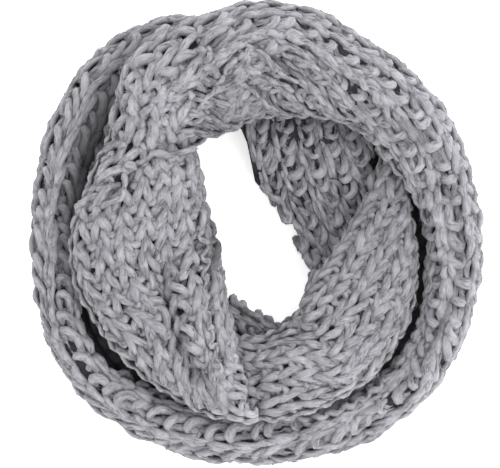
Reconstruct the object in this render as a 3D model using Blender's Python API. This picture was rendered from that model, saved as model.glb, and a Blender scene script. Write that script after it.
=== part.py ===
"""A chunky knitted infinity scarf, wound twice and laid down on its side.

The scarf is one strip of thick rib, joined end to end and wound round twice. Each stretch of it that
shows is a curved wall of cloth, lofted through sections that stand on rays from the ring's centre.
Metres and +Z up in the scene; the tables are in millimetres and degrees, anticlockwise from +X.
"""
import math

import bmesh
import bpy

MM = 0.001
CLOTH = 7.0             # the knit's thickness
FLAT_CLOTH = 0.62       # share of a low section's rise that its cloth may take up
NARROW_CLOTH = 0.5      # share of a narrow section's half width that its cloth may take up
ROLL = 60.0             # degrees that an edge rolls under, past its widest point
ROLL_REACH = 12.0       # how far an edge turns back under the cloth
ROLL_LEAST = 0.12       # share of an edge's roll that its inner face keeps
INNER_FOOT = 1.5        # lowest height of the cloth's inner face, where it stands on its edge
SEAM = 0.3              # gap between two stretches where one runs on into the next
SEAM_RADIUS = 110.0     # radius where that gap is measured
STEP = 7.5              # degrees between two sections
ARC_POINTS = 13         # points across a section, from one rolled edge to the other
CENTRE = (-0.8, 0.67)   # where the ring's centre stands, so that the box is centred
FILL_GAP = 1.0          # room between the hidden layers and the cloth that lies on them
FILL_WINDOW = 1.15      # a height of the hidden layers clears this many columns on either side
FILL_INSET = 1.5        # they end this far short of where the room ends
FILL_LEAST = 3.0        # the hidden layers are at least this thick
GAP_FLOOR = 18.0        # their height where a gap between two turns looks down on them
UNDER_COLUMNS = 18      # points across their top
UNDER_EDGE = 15.5       # they end where the room under the cloth falls to this
TOP_FOLD_START = 112.5  # the first ray of the layers in the top stretch's fold
TOP_FOLD_RAYS = 8
TOP_FOLD_COLUMNS = 9    # points across their top
TOP_FOLD_EDGE = 5.0     # they end where the room in the fold falls to this
TOP_FOLD_FLOOR = 32.0   # nothing in that fold hangs lower
SCAN_START = 24.0       # the search for room under the cloth runs between these radii
SCAN_END = 184.0
SCAN_STEP = 0.5

# One row for each measured section of a run of the strip. "at" is the ray's angle. The chord goes
# from the inner edge to the outer edge; "rise" is the crown over it, and the last two columns say how
# far each edge rolls under, measured down from the chord.
COLUMNS = ("at", "r_in", "z_in", "r_out", "z_out", "rise", "under_in", "under_out")

UPPER_RUN = [
    (270.0, 132, 69, 143, 67, 4.5, 3, 3),
    (262.5, 100, 66, 141, 66, 9.0, 4, 5),
    (255.0, 73, 60, 138, 65, 15.0, 7, 6),
    (247.5, 61, 52, 136, 62, 19.0, 11, 7),
    (240.0, 52, 46, 135, 61, 22.0, 47, 7),
    (225.0, 38, 37, 135, 60, 25.0, 40, 7),
    (210.0, 34, 32, 135, 60, 28.0, 36, 7),
    (195.0, 32, 31, 139, 61, 29.0, 35, 7),
    (180.0, 32, 32, 137, 62, 29.0, 36, 7),
    (165.0, 37, 34, 130, 63, 29.0, 38, 7),
    (150.0, 45, 38, 129, 64, 28.0, 42, 7),
    (135.0, 62, 50, 147, 66, 26.0, 54, 8),
    (127.5, 79, 60, 160, 67, 26.0, 24, 9),
    (120.0, 82, 61, 165, 67, 28.0, 10, 10),
    (105.0, 81, 60, 166, 65, 31.0, 7, 12),
    (90.0, 89, 58, 173.5, 59, 34.0, 6, 16),
    (75.0, 93, 56, 175, 54, 36.0, 6, 32),
    (60.0, 103, 56, 168, 48, 35.0, 6, 52),
    (45.0, 112, 54, 169, 44, 33.0, 6, 48),
    (30.0, 116, 52, 169, 40, 31.0, 6, 44),
    (15.0, 124, 48, 167, 36, 28.0, 7, 40),
    (0.0, 133, 44, 170, 34, 26.0, 12, 38),
    (-15.0, 138, 40, 172.5, 32, 25.0, 14, 36),
    (-30.0, 145, 36, 178, 30, 24.0, 14, 33),
    (-45.0, 146, 32, 179, 28, 24.0, 12, 31),
    (-60.0, 140, 28, 178.5, 26, 24.0, 9, 29),
    (-90.0, 134, 27, 175, 26, 24.0, 8, 29),
    (-105.0, 136, 27, 175, 26, 24.0, 8, 29),
    (-120.0, 142, 28, 177, 27, 24.0, 9, 30),
    (-135.0, 143, 28, 181, 27, 24.0, 9, 30),
    (-150.0, 141, 28, 179, 27, 25.0, 9, 30),
    (-165.0, 132, 28, 172, 27, 25.0, 8, 30),
    (-180.0, 128, 28, 170, 27, 25.0, 8, 30),
    (-195.0, 120, 29, 172, 27, 25.0, 8, 30),
    (-210.0, 116, 29, 176, 27, 25.0, 8, 30),
    (-225.0, 114, 29, 183, 27, 26.0, 8, 30),
    (-240.0, 112, 28, 182, 27, 25.0, 8, 30),
    (-255.0, 108, 26, 171, 26, 22.0, 7, 29),
    (-270.0, 105, 27, 154, 26, 19.0, 5, 29),
    (-285.0, 106, 27, 137, 24, 16.0, 5, 27),
    (-292.5, 107, 26, 130, 24, 13.0, 5, 26),
]

LOWER_RUN = [
    (105.0, 84, 28, 98, 32, 4.5, 3, 3),
    (97.5, 80, 24, 99, 32, 4.5, 4, 3),
    (90.0, 39, 9, 100, 33, 6.0, 16, 3),
    (82.5, 34, 9, 101, 35, 7.0, 16, 3),
    (75.0, 30, 9, 103, 36, 8.0, 16, 3),
    (60.0, 30, 9, 110, 40, 8.0, 16, 3),
    (45.0, 28.5, 9, 111, 38, 8.0, 15, 3),
    (30.0, 27, 9, 105, 31, 8.0, 14, 3),
    (15.0, 29, 9, 96, 22, 8.0, 12, 3),
    (0.0, 32, 9, 96, 18, 8.0, 12, 3),
    (-15.0, 34, 9, 98, 16, 8.0, 11, 3),
    (-30.0, 47, 9, 102, 15, 7.0, 11, 3),
    (-45.0, 57, 9, 106, 15, 7.0, 11, 3),
    (-60.0, 68, 9, 108, 15, 6.5, 11, 3),
    (-75.0, 73, 9, 108, 14, 6.0, 11, 3),
    (-90.0, 60, 9, 104, 14, 6.0, 11, 3),
    (-105.0, 52, 9, 98, 13, 6.0, 11, 3),
    (-112.5, 50, 9, 94, 13, 6.0, 11, 3),
]

MIDDLE_RUN = [
    (37.5, 115, 38, 125, 39, 4.0, 2, 2),
    (30.0, 111, 39, 122, 40, 4.0, 3, 3),
    (22.5, 97, 42, 119, 40, 8.0, 4, 8),
    (15.0, 86, 45, 118, 39, 13.0, 5, 16),
    (0.0, 68, 47, 119, 38, 19.0, 7, 20),
    (-15.0, 61, 47, 125, 38, 23.0, 8, 20),
    (-30.0, 58, 45, 132, 42, 25.0, 9, 22),
    (-45.0, 60, 44, 136, 50, 25.0, 14, 14),
    (-60.0, 71, 42, 138, 58, 23.0, 24, 6),
    (-75.0, 77, 42, 140, 61, 20.0, 24, 6),
    (-90.0, 79, 38, 142, 55, 12.0, 20, 5),
    (-97.5, 79, 35, 137, 49, 10.0, 17, 5),
    (-105.0, 78, 31, 130, 42, 8.0, 13, 4),
    (-112.5, 77, 27, 120, 35, 6.5, 7, 4),
]

# The largest folds, as soft troughs across the upper run: the trough's middle runs through the three
# points and fades out at both ends.
FOLD_COLUMNS = ("name", "at_a", "r_a", "at_b", "r_b", "at_c", "r_c", "depth", "reach")
FOLDS = [
    ("crossing_crease", 172, 113, 150, 99, 130, 94, 5.0, 9.0),
    ("left_trough", 205, 82, 228, 91, 252, 120, 6.5, 9.0),
    ("top_pocket", 122, 93, 90, 112, 56, 117, 9.0, 21.0),
    ("right_dimple", 40, 134, 22, 142, 2, 150, 2.5, 9.0),
]

# Each stretch that shows: its run, the rays where it starts and ends, and its colour.
STRETCH_COLUMNS = ("name", "run", "start", "end", "colour")
STRETCHES = [
    ("inner_left", "upper", 270.0, 135.0, (0.42, 0.42, 0.45)),
    ("top_over", "upper", 135.0, 37.5, (0.46, 0.46, 0.49)),
    ("outer_right", "upper", 37.5, -45.0, (0.40, 0.40, 0.43)),
    ("outer_bottom", "upper", -45.0, -135.0, (0.37, 0.37, 0.40)),
    ("outer_left", "upper", -135.0, -225.0, (0.34, 0.34, 0.37)),
    ("under_top", "upper", -225.0, -292.5, (0.28, 0.28, 0.31)),
    ("lower_lip", "lower", 105.0, -112.5, (0.22, 0.22, 0.25)),
    ("inner_right", "middle", 37.5, -37.5, (0.43, 0.43, 0.46)),
    ("inner_bottom", "middle", -37.5, -112.5, (0.44, 0.44, 0.47)),
]
HIDDEN_COLOUR = (0.16, 0.16, 0.18)
ROUGHNESS = 0.95
RUNS = {"upper": UPPER_RUN, "lower": LOWER_RUN, "middle": MIDDLE_RUN}


def clear_scene():
    """Remove every object, so the script can run again in an open file."""
    for old in list(bpy.data.objects):
        bpy.data.objects.remove(old, do_unlink=True)


def slope_at(rows, index, column):
    """Return the slope of one column at a row, for a smooth curve with no overshoot."""
    if index in (0, len(rows) - 1):
        return 0.0
    before = (rows[index][column] - rows[index - 1][column]) / (rows[index][0] - rows[index - 1][0])
    after = (rows[index + 1][column] - rows[index][column]) / (rows[index + 1][0] - rows[index][0])
    if before * after <= 0.0:
        return 0.0
    return 2.0 * before * after / (before + after)


def section_at(rows, at):
    """Return the sizes of the section on the ray at an angle, as a dictionary."""
    last = len(rows) - 2
    index = next((k for k in range(last + 1) if rows[k][0] >= at >= rows[k + 1][0]), last)
    first, second = rows[index], rows[index + 1]
    span = second[0] - first[0]
    t = (at - first[0]) / span
    sizes = {"at": at}
    for column, name in enumerate(COLUMNS[1:], start=1):
        start_slope = slope_at(rows, index, column) * span
        end_slope = slope_at(rows, index + 1, column) * span
        sizes[name] = (
            first[column] * (2 * t ** 3 - 3 * t ** 2 + 1)
            + start_slope * (t ** 3 - 2 * t ** 2 + t)
            + second[column] * (3 * t ** 2 - 2 * t ** 3)
            + end_slope * (t ** 3 - t ** 2)
        )
    return sizes


def fold_depth(at, radius):
    """Return how far the folds lower the cloth at a point."""
    total = 0.0
    for row in FOLDS:
        fold = dict(zip(FOLD_COLUMNS, row))
        turned = (fold["at_a"] - at) / (fold["at_a"] - fold["at_c"])
        if not 0.0 < turned < 1.0:
            continue
        middle = (fold["at_a"] - fold["at_b"]) / (fold["at_a"] - fold["at_c"])
        bend = (fold["r_b"] - fold["r_a"] - (fold["r_c"] - fold["r_a"]) * middle) / (middle * (middle - 1.0))
        line = fold["r_a"] + (fold["r_c"] - fold["r_a"]) * turned + bend * turned * (turned - 1.0)
        across = abs(radius - line) / fold["reach"]
        if across < 1.0:
            total += fold["depth"] * math.sin(math.pi * turned) * 0.5 * (1.0 + math.cos(math.pi * across))
    return total


def arc_point(sizes, angle, inward):
    """Return (radius, height) on a section's arc, moved inward by part of the cloth's thickness."""
    half_r = (sizes["r_out"] - sizes["r_in"]) / 2.0
    half_z = (sizes["z_out"] - sizes["z_in"]) / 2.0
    half = math.hypot(half_r, half_z)
    cosine, sine = math.cos(math.radians(angle)), math.sin(math.radians(angle))
    along = (half - inward) / half * cosine
    if sine < 0.0:
        tuck = min(1.0, ROLL_REACH / (half * (1.0 - math.cos(math.radians(ROLL)))))
        along = (half - inward) / half * math.copysign(1.0 - tuck * (1.0 - abs(cosine)), cosine)
    under = sizes["under_in"] if cosine < 0.0 else sizes["under_out"]
    under /= math.sin(math.radians(ROLL))
    height = sizes["rise"] - inward if sine >= 0.0 else max(under - inward, ROLL_LEAST * under)
    radius = (sizes["r_in"] + sizes["r_out"]) / 2.0 + half_r * along - half_z / half * height * sine
    level = (sizes["z_in"] + sizes["z_out"]) / 2.0 + half_z * along + half_r / half * height * sine
    return radius, max(level, 0.0 if inward == 0.0 else INNER_FOOT)


def wall_section(run, at):
    """Return the closed outline of the cloth on one ray, the outer face first, then the inner face."""
    sizes = section_at(RUNS[run], at)
    half = math.hypot(sizes["r_out"] - sizes["r_in"], sizes["z_out"] - sizes["z_in"]) / 2.0
    thick = min(CLOTH, FLAT_CLOTH * sizes["rise"], NARROW_CLOTH * half)
    angles = [180.0 + ROLL - (180.0 + 2.0 * ROLL) * k / (ARC_POINTS - 1) for k in range(ARC_POINTS)]
    outline = []
    for inward, order in ((0.0, angles), (thick, angles[::-1])):
        for angle in order:
            radius, level = arc_point(sizes, angle, inward)
            if run == "upper":
                upper_side = max(0.0, math.sin(math.radians(angle)))
                level -= fold_depth(at, arc_point(sizes, angle, 0.0)[0]) * min(1.0, 2.0 * upper_side)
            outline.append((radius, level))
    return outline


def place(at, radius, level):
    """Return the point in metres on the ray at an angle."""
    turn = math.radians(at)
    x = radius * math.cos(turn) + CENTRE[0]
    y = radius * math.sin(turn) + CENTRE[1]
    return (x * MM, y * MM, level * MM)


def rays(start, end):
    """Return the rays of a stretch, its two end rays moved in by half of the seam's gap."""
    count = round((start - end) / STEP)
    angles = [start - STEP * k for k in range(count + 1)]
    trim = math.degrees(SEAM / 2.0 / SEAM_RADIUS)
    angles[0] -= trim
    angles[-1] += trim
    return angles


def dress(piece, colour):
    """Give a piece its own plain knit colour."""
    material = bpy.data.materials.new(piece.name)
    material.use_nodes = True
    shader = material.node_tree.nodes["Principled BSDF"]
    shader.inputs["Base Color"].default_value = (*colour, 1.0)
    shader.inputs["Roughness"].default_value = ROUGHNESS
    piece.data.materials.append(material)


def loft(name, sections, collection, closed_ring=False):
    """Skin a row of closed outlines into one solid, capped at its ends unless it is a ring."""
    mesh = bpy.data.meshes.new(name)
    work = bmesh.new()
    loops = [[work.verts.new(point) for point in outline] for outline in sections]
    pairs = list(zip(loops, loops[1:]))
    if closed_ring:
        pairs.append((loops[-1], loops[0]))
    for first, second in pairs:
        edges = []
        for outline in (first, second):
            for one, other in zip(outline, outline[1:] + outline[:1]):
                edges.append(work.edges.get((one, other)) or work.edges.new((one, other)))
        for k in range(len(first)):
            after = (k + 1) % len(first)
            work.faces.new((first[k], first[after], second[after], second[k]))
    if not closed_ring:
        for outline in (loops[0], loops[-1]):
            for k in range(len(outline) // 2 - 1):
                work.faces.new((outline[k], outline[k + 1], outline[-2 - k], outline[-1 - k]))
    bmesh.ops.triangulate(work, faces=work.faces[:])
    bmesh.ops.recalc_face_normals(work, faces=work.faces[:])
    work.to_mesh(mesh)
    work.free()
    piece = bpy.data.objects.new(name, mesh)
    collection.objects.link(piece)
    return piece


def make_stretch(row, collection):
    """Build one stretch of the strip that shows."""
    stretch = dict(zip(STRETCH_COLUMNS, row))
    sections = []
    for at in rays(stretch["start"], stretch["end"]):
        sections.append([place(at, *point) for point in wall_section(stretch["run"], at)])
    piece = loft(stretch["name"], sections, collection)
    dress(piece, stretch["colour"])
    return piece


def crossings(outline, radius):
    """Return the heights where a closed outline crosses a radius."""
    levels = []
    for (r_a, z_a), (r_b, z_b) in zip(outline, outline[1:] + outline[:1]):
        if r_a != r_b and min(r_a, r_b) <= radius <= max(r_a, r_b):
            levels.append(z_a + (z_b - z_a) * (radius - r_a) / (r_b - r_a))
    return levels


def outlines_over(at):
    """Return {(run, angle): outline} for every run that passes over the ray at an angle."""
    found = {}
    for run, rows in RUNS.items():
        for turned in (at - 360.0, at, at + 360.0):
            if rows[0][0] >= turned >= rows[-1][0]:
                found[run, turned] = wall_section(run, turned)
    return found


def scan_radii():
    """Return the radii that the search for room under the cloth looks at."""
    count = int((SCAN_END - SCAN_START) / SCAN_STEP)
    return [SCAN_START + SCAN_STEP * k for k in range(count + 1)]


def room_under_all(at):
    """Return (ceiling, floor) by radius for the layers under every stretch."""
    outlines = list(outlines_over(at).values())
    nearest = min(radius for outline in outlines for radius, _ in outline)
    farthest = max(radius for outline in outlines for radius, _ in outline)
    ceiling = {}
    for radius in scan_radii():
        levels = [level for outline in outlines for level in crossings(outline, radius)]
        if not levels and nearest < radius < farthest:
            levels = [GAP_FLOOR]
        ceiling[radius] = min(levels, default=0.0) - FILL_GAP
    return ceiling, {radius: 0.0 for radius in ceiling}


def room_in_top_fold(at):
    """Return (ceiling, floor) by radius for the layers inside the fold of the stretch on top."""
    ceiling, floor = {}, {}
    for radius in scan_radii():
        above, below = [], [TOP_FOLD_FLOOR]
        for (run, turned), outline in outlines_over(at).items():
            levels = crossings(outline, radius)
            if run == "upper" and turned == at:
                above += levels
            else:
                below += levels
        ceiling[radius] = min(above, default=0.0) - FILL_GAP
        floor[radius] = max(below) + FILL_GAP
    return ceiling, floor


def beside(items, index, closed_ring):
    """Return the items before, at and after an index, round the ring or no farther than its ends."""
    if closed_ring:
        return [items[index - 1], items[index], items[(index + 1) % len(items)]]
    return [items[max(0, index - 1)], items[index], items[min(len(items) - 1, index + 1)]]


def fill_sections(room, angles, columns, least, closed_ring=False):
    """Return the outlines of a solid that fills the room on each ray.

    Each ray also clears the rays halfway to its neighbours and at them, and each column clears the
    radii that it has on the neighbours, so that the straight skin between two rays stays clear.
    """
    rooms = []
    for at in angles:
        around = [room((at + side * STEP / 2.0) % 360.0) for side in (-2, -1, 0, 1, 2)]
        ceiling = {radius: min(pair[0][radius] for pair in around) for radius in around[0][0]}
        floor = {radius: max(pair[1][radius] for pair in around) for radius in around[0][0]}
        rooms.append((ceiling, floor, *room_edges(ceiling, floor, least)))
    sections = []
    for index, at in enumerate(angles):
        ceiling, floor = rooms[index][:2]
        near = beside(rooms, index, closed_ring)
        spans = [(low, (high - low) / (columns - 1)) for _, _, low, high in near]
        base, top = [], []
        for column in range(columns):
            radii = [low + width * column for low, width in spans]
            reach = spans[1][1] * FILL_WINDOW
            band = [r for r in ceiling if min(radii) - reach <= r <= max(radii) + reach]
            ground = max(floor[r] for r in band)
            base.append((radii[1], ground))
            top.append((radii[1], max(ground + FILL_LEAST, min(ceiling[r] for r in band))))
        if all(level == 0.0 for _, level in base):
            base = [base[0], base[-1]]
        sections.append([place(at, *point) for point in base[::-1] + top])
    return sections


def room_edges(ceiling, floor, least):
    """Return the first and last radius of the widest stretch with room for the layers."""
    best, start = (0.0, 0.0), None
    radii = sorted(ceiling)
    for radius in radii:
        if ceiling[radius] - floor[radius] > least:
            start = radius if start is None else start
            if radius - start > best[1] - best[0]:
                best = (start, radius)
        else:
            start = None
    return best[0] + FILL_INSET, best[1] - FILL_INSET


def make_hidden_layers(collection):
    """Build the rounded solids of the layers that nothing shows."""
    angles = [STEP * k for k in range(round(360.0 / STEP))]
    sections = fill_sections(room_under_all, angles, UNDER_COLUMNS, UNDER_EDGE, closed_ring=True)
    dress(loft("hidden_layers", sections, collection, closed_ring=True), HIDDEN_COLOUR)
    angles = [TOP_FOLD_START - STEP * k for k in range(TOP_FOLD_RAYS)]
    sections = fill_sections(room_in_top_fold, angles, TOP_FOLD_COLUMNS, TOP_FOLD_EDGE)
    dress(loft("hidden_top_fold", sections, collection), HIDDEN_COLOUR)


def main():
    """Build the scarf."""
    clear_scene()
    collection = bpy.data.collections.new("infinity_scarf")
    bpy.context.scene.collection.children.link(collection)
    for row in STRETCHES:
        make_stretch(row, collection)
    make_hidden_layers(collection)


main()
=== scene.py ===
"""The looks of a chunky knitted infinity scarf, wound twice and laid down in a ring.

Every stretch of the scarf that shows is a thin ground of felted cloth on the middle of its wall, finished
near black as painted shadow between the loops, with the rib knitted on it loop by loop in thick soft yarn.
Tables are in millimetres and degrees, anticlockwise from +X as seen from above; everything that is built is
in metres.
"""

import logging
import math
from dataclasses import dataclass, replace
from enum import Enum

import bpy
import numpy as np
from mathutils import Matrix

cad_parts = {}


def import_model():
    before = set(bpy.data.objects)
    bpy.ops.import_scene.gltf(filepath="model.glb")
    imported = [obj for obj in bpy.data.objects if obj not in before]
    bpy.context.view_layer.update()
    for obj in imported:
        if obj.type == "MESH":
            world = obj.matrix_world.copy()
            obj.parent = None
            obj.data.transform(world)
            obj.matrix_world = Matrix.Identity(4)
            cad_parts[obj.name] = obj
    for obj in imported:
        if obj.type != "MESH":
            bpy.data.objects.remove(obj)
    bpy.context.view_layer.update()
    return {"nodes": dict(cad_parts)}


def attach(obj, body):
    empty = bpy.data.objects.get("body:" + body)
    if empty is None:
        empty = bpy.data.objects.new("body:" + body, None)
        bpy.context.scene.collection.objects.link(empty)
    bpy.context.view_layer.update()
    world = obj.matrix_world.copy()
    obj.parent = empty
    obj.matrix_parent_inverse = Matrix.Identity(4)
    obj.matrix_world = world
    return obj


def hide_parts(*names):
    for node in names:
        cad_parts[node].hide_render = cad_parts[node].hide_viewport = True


MM = 0.001
CENTRE = (-0.8, 0.67)       # where the middle of the ring stands
CLOTH = 7.0                 # the knit's thickness
FLAT_CLOTH = 0.62           # share of a low section's rise that its cloth may take up
NARROW_CLOTH = 0.5          # share of a narrow section's half width that its cloth may take up
ROLL = 60.0                 # degrees that an edge rolls under, past its widest point
ROLL_REACH = 12.0           # how far an edge turns back under the cloth
ROLL_LEAST = 0.12           # share of an edge's roll that its inner face keeps
GROUND_DEPTH = 0.5          # share of the cloth's thickness where its middle is
TINY = 1e-9                 # keeps a vector of no length from being divided by nothing
LAST_CELL = 1.001           # keeps a place inside the last cell of a grid
LAY = "lay"                 # the yarn's own directions, along and across, on each point of it
PAINTED_SHADE = "bare"               # painted shade: share of its full colour that each point keeps, lower where shade falls
BODY = "root"

Places = tuple[tuple[float, float], ...]    # a ray and a length or a distance on it, for each place

log = logging.getLogger("scarf")


class Edge(Enum):
    """The edge of a stretch that its columns of stitches are counted from, by its place on the arc."""

    INNER = 180.0
    OUTER = 0.0


class Stitch(Enum):
    """A knit stitch comes towards the eye, a purl stitch turns its back to it."""

    KNIT = 1.0
    PURL = -1.0


def unit(vectors: np.ndarray) -> np.ndarray:
    """Return vectors brought to length 1."""
    return vectors / np.maximum(np.linalg.norm(vectors, axis=-1, keepdims=True), TINY)


def square_to(along: np.ndarray, facing: np.ndarray) -> tuple[np.ndarray, np.ndarray]:
    """Return the ways up and sideways from a yarn that runs along a cloth which faces some way."""
    up = unit(facing - (facing * along).sum(axis=-1, keepdims=True) * along)
    return up, np.cross(along, up)


def lengths_to(points: np.ndarray) -> np.ndarray:
    """Return the length of a line up to each of its points."""
    return np.concatenate([[0.0], np.cumsum(np.linalg.norm(np.diff(points, axis=0), axis=1))])


def from_middle(points: np.ndarray) -> tuple[np.ndarray, np.ndarray]:
    """Return each point's distance from the ring's middle, and its angle there in radians."""
    x, y = points[..., 0] - CENTRE[0], points[..., 1] - CENTRE[1]
    return np.hypot(x, y), np.arctan2(y, x)


def on_rays(table: Places, at: np.ndarray) -> np.ndarray:
    """Return what a table says on each ray."""
    rays, values = np.array(sorted(table), float).T
    return np.interp(at, rays, values)


def tuck(count: int, points: int, depth: float) -> np.ndarray:
    """Return how far a strand turns in at each of its points, which is nothing but at its two ends.

    Args:
        count: Points on the strand.
        points: How many of them turn in, at either end.
        depth: How far the last of them does.

    Returns:
        A depth for each point.
    """
    place = np.arange(count)
    return depth * np.clip(1.0 - np.minimum(place, place[::-1]) / points, 0.0, 1.0) ** 2


def blend(grid: np.ndarray, cell: tuple[np.ndarray, np.ndarray],
          on: tuple[np.ndarray, np.ndarray]) -> np.ndarray:
    """Blend the four nearest values of a grid.

    Args:
        grid: The values, by rows and columns.
        cell: The row and the column before each place.
        on: How far on the place is towards the next row and the next column, 0 to 1.

    Returns:
        The value at each place.
    """
    (i, j), (a, b) = cell, on
    near = grid[i, j] * (1.0 - b) + grid[i, j + 1] * b
    far = grid[i + 1, j] * (1.0 - b) + grid[i + 1, j + 1] * b
    return near * (1.0 - a) + far * a


def tube_faces(index: np.ndarray) -> np.ndarray:
    """Return the faces between the closed rings of a tube, from the numbers of its points."""
    after = np.roll(index, -1, axis=1)
    return np.stack([index[:-1], after[:-1], after[1:], index[1:]], axis=2).reshape(-1, 4)


def put_in_scene(name: str, data: bpy.types.ID) -> bpy.types.Object:
    """Return a new object in the scene, made of some data.

    Args:
        name: The object's name.
        data: Its mesh, light or camera.

    Returns:
        The object.
    """
    thing = bpy.data.objects.new(name, data)
    bpy.context.scene.collection.objects.link(thing)
    return thing


def write_on(mesh: bpy.types.Mesh, lay: np.ndarray, bare: np.ndarray) -> None:
    """Write what the finish reads on each point of a mesh.

    Args:
        mesh: The mesh.
        lay: The yarn's own directions there.
        bare: The painted shade there: the share of its full colour that it keeps.
    """
    for name, kind, key, values in ((LAY, "FLOAT_VECTOR", "vector", lay), (PAINTED_SHADE, "FLOAT", "value", bare)):
        layer = mesh.attributes.new(name, kind, "POINT")
        layer.data.foreach_set(key, values.astype(np.float32).ravel())


@dataclass(frozen=True)
class Section:
    """One section across a run of the strip, on a ray from the ring's centre.

    The chord goes from the inner edge to the outer edge, the crown rises over it, and each edge
    rolls under it.
    """

    at: float
    r_in: float
    z_in: float
    r_out: float
    z_out: float
    rise: float
    under_in: float
    under_out: float

    def thickness(self) -> float:
        """Return the cloth's thickness here."""
        half = math.hypot(self.r_out - self.r_in, self.z_out - self.z_in) / 2.0
        return min(CLOTH, FLAT_CLOTH * self.rise, NARROW_CLOTH * half)

    def arc(self, angles: np.ndarray, inward: float) -> tuple[np.ndarray, np.ndarray]:
        """Follow the section's arc, some way inside its outer face.

        Args:
            angles: Places on the arc in degrees: 180 is the inner edge, 90 the crown, 0 the outer edge.
            inward: Depth under the outer face.

        Returns:
            The radius and the height of each place.
        """
        half_r = (self.r_out - self.r_in) / 2.0
        half_z = (self.z_out - self.z_in) / 2.0
        half = math.hypot(half_r, half_z)
        cosine, sine = np.cos(np.radians(angles)), np.sin(np.radians(angles))
        turned = min(1.0, ROLL_REACH / (half * (1.0 - math.cos(math.radians(ROLL)))))
        rolled = np.copysign(1.0 - turned * (1.0 - np.abs(cosine)), cosine)
        along = (half - inward) / half * np.where(sine < 0.0, rolled, cosine)
        under = np.where(cosine < 0.0, self.under_in, self.under_out) / math.sin(math.radians(ROLL))
        height = np.where(sine < 0.0, np.maximum(under - inward, ROLL_LEAST * under), self.rise - inward)
        radius = (self.r_in + self.r_out) / 2.0 + half_r * along - half_z / half * height * sine
        level = (self.z_in + self.z_out) / 2.0 + half_z * along + half_r / half * height * sine
        return radius, level


@dataclass(frozen=True)
class Trough:
    """A large soft crease, whose middle runs through three places and fades out at both ends."""

    at_a: float
    r_a: float
    at_b: float
    r_b: float
    at_c: float
    r_c: float
    depth: float
    reach: float
    shade: float = 0.0          # painted shade: share of its colour that the yarn in the crease's middle loses

    def depth_at(self, at: float, radius: np.ndarray) -> np.ndarray:
        """Return how far this crease lowers the cloth along one ray.

        Args:
            at: The ray's angle.
            radius: Distances of the cloth's places from the ring's middle.

        Returns:
            A depth for each place.
        """
        turned = (self.at_a - at) / (self.at_a - self.at_c)
        if not 0.0 < turned < 1.0:
            return np.zeros_like(radius)
        middle = (self.at_a - self.at_b) / (self.at_a - self.at_c)
        bend = (self.r_b - self.r_a - (self.r_c - self.r_a) * middle) / (middle * (middle - 1.0))
        line = self.r_a + (self.r_c - self.r_a) * turned + bend * turned * (turned - 1.0)
        across = np.minimum(1.0, np.abs(radius - line) / self.reach)
        return self.depth * math.sin(math.pi * turned) * 0.5 * (1.0 + np.cos(math.pi * across))


# The runs' sections from the greatest angle down: ray, radius and height of the inner edge and of the
# outer edge, rise, and how far the inner and the outer edge roll under.
UPPER_RUN = [Section(*row) for row in (
    (270, 132, 69, 143, 67, 4.5, 3, 3),
    (262.5, 100, 66, 141, 66, 9, 4, 5),
    (255, 73, 60, 138, 65, 15, 7, 6),
    (247.5, 61, 52, 136, 62, 19, 11, 7),
    (240, 52, 46, 135, 61, 22, 47, 7),
    (225, 38, 37, 135, 60, 25, 40, 7),
    (210, 34, 32, 135, 60, 28, 36, 7),
    (195, 32, 31, 139, 61, 29, 35, 7),
    (180, 32, 32, 137, 62, 29, 36, 7),
    (165, 37, 34, 130, 63, 29, 38, 7),
    (150, 45, 38, 129, 64, 28, 42, 7),
    (135, 62, 50, 147, 66, 26, 54, 8),
    (127.5, 79, 60, 160, 67, 26, 24, 9),
    (120, 82, 61, 165, 67, 28, 10, 10),
    (105, 81, 60, 166, 65, 31, 7, 12),
    (90, 89, 58, 173.5, 59, 34, 6, 16),
    (75, 93, 56, 175, 54, 36, 6, 32),
    (60, 103, 56, 168, 48, 35, 6, 52),
    (45, 112, 54, 169, 44, 33, 6, 48),
    (30, 116, 52, 169, 40, 31, 6, 44),
    (15, 124, 48, 167, 36, 28, 7, 40),
    (0, 133, 44, 170, 34, 26, 12, 38),
    (-15, 138, 40, 172.5, 32, 25, 14, 36),
    (-30, 145, 36, 178, 30, 24, 14, 33),
    (-45, 146, 32, 179, 28, 24, 12, 31),
    (-60, 140, 28, 178.5, 26, 24, 9, 29),
    (-90, 134, 27, 175, 26, 24, 8, 29),
    (-105, 136, 27, 175, 26, 24, 8, 29),
    (-120, 142, 28, 177, 27, 24, 9, 30),
    (-135, 143, 28, 181, 27, 24, 9, 30),
    (-150, 141, 28, 179, 27, 25, 9, 30),
    (-165, 132, 28, 172, 27, 25, 8, 30),
    (-180, 128, 28, 170, 27, 25, 8, 30),
    (-195, 120, 29, 172, 27, 25, 8, 30),
    (-210, 116, 29, 176, 27, 25, 8, 30),
    (-225, 114, 29, 183, 27, 26, 8, 30),
    (-240, 112, 28, 182, 27, 25, 8, 30),
    (-255, 108, 26, 171, 26, 22, 7, 29),
    (-270, 105, 27, 154, 26, 19, 5, 29),
    (-285, 106, 27, 137, 24, 16, 5, 27),
    (-292.5, 107, 26, 130, 24, 13, 5, 26),
)]

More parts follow.
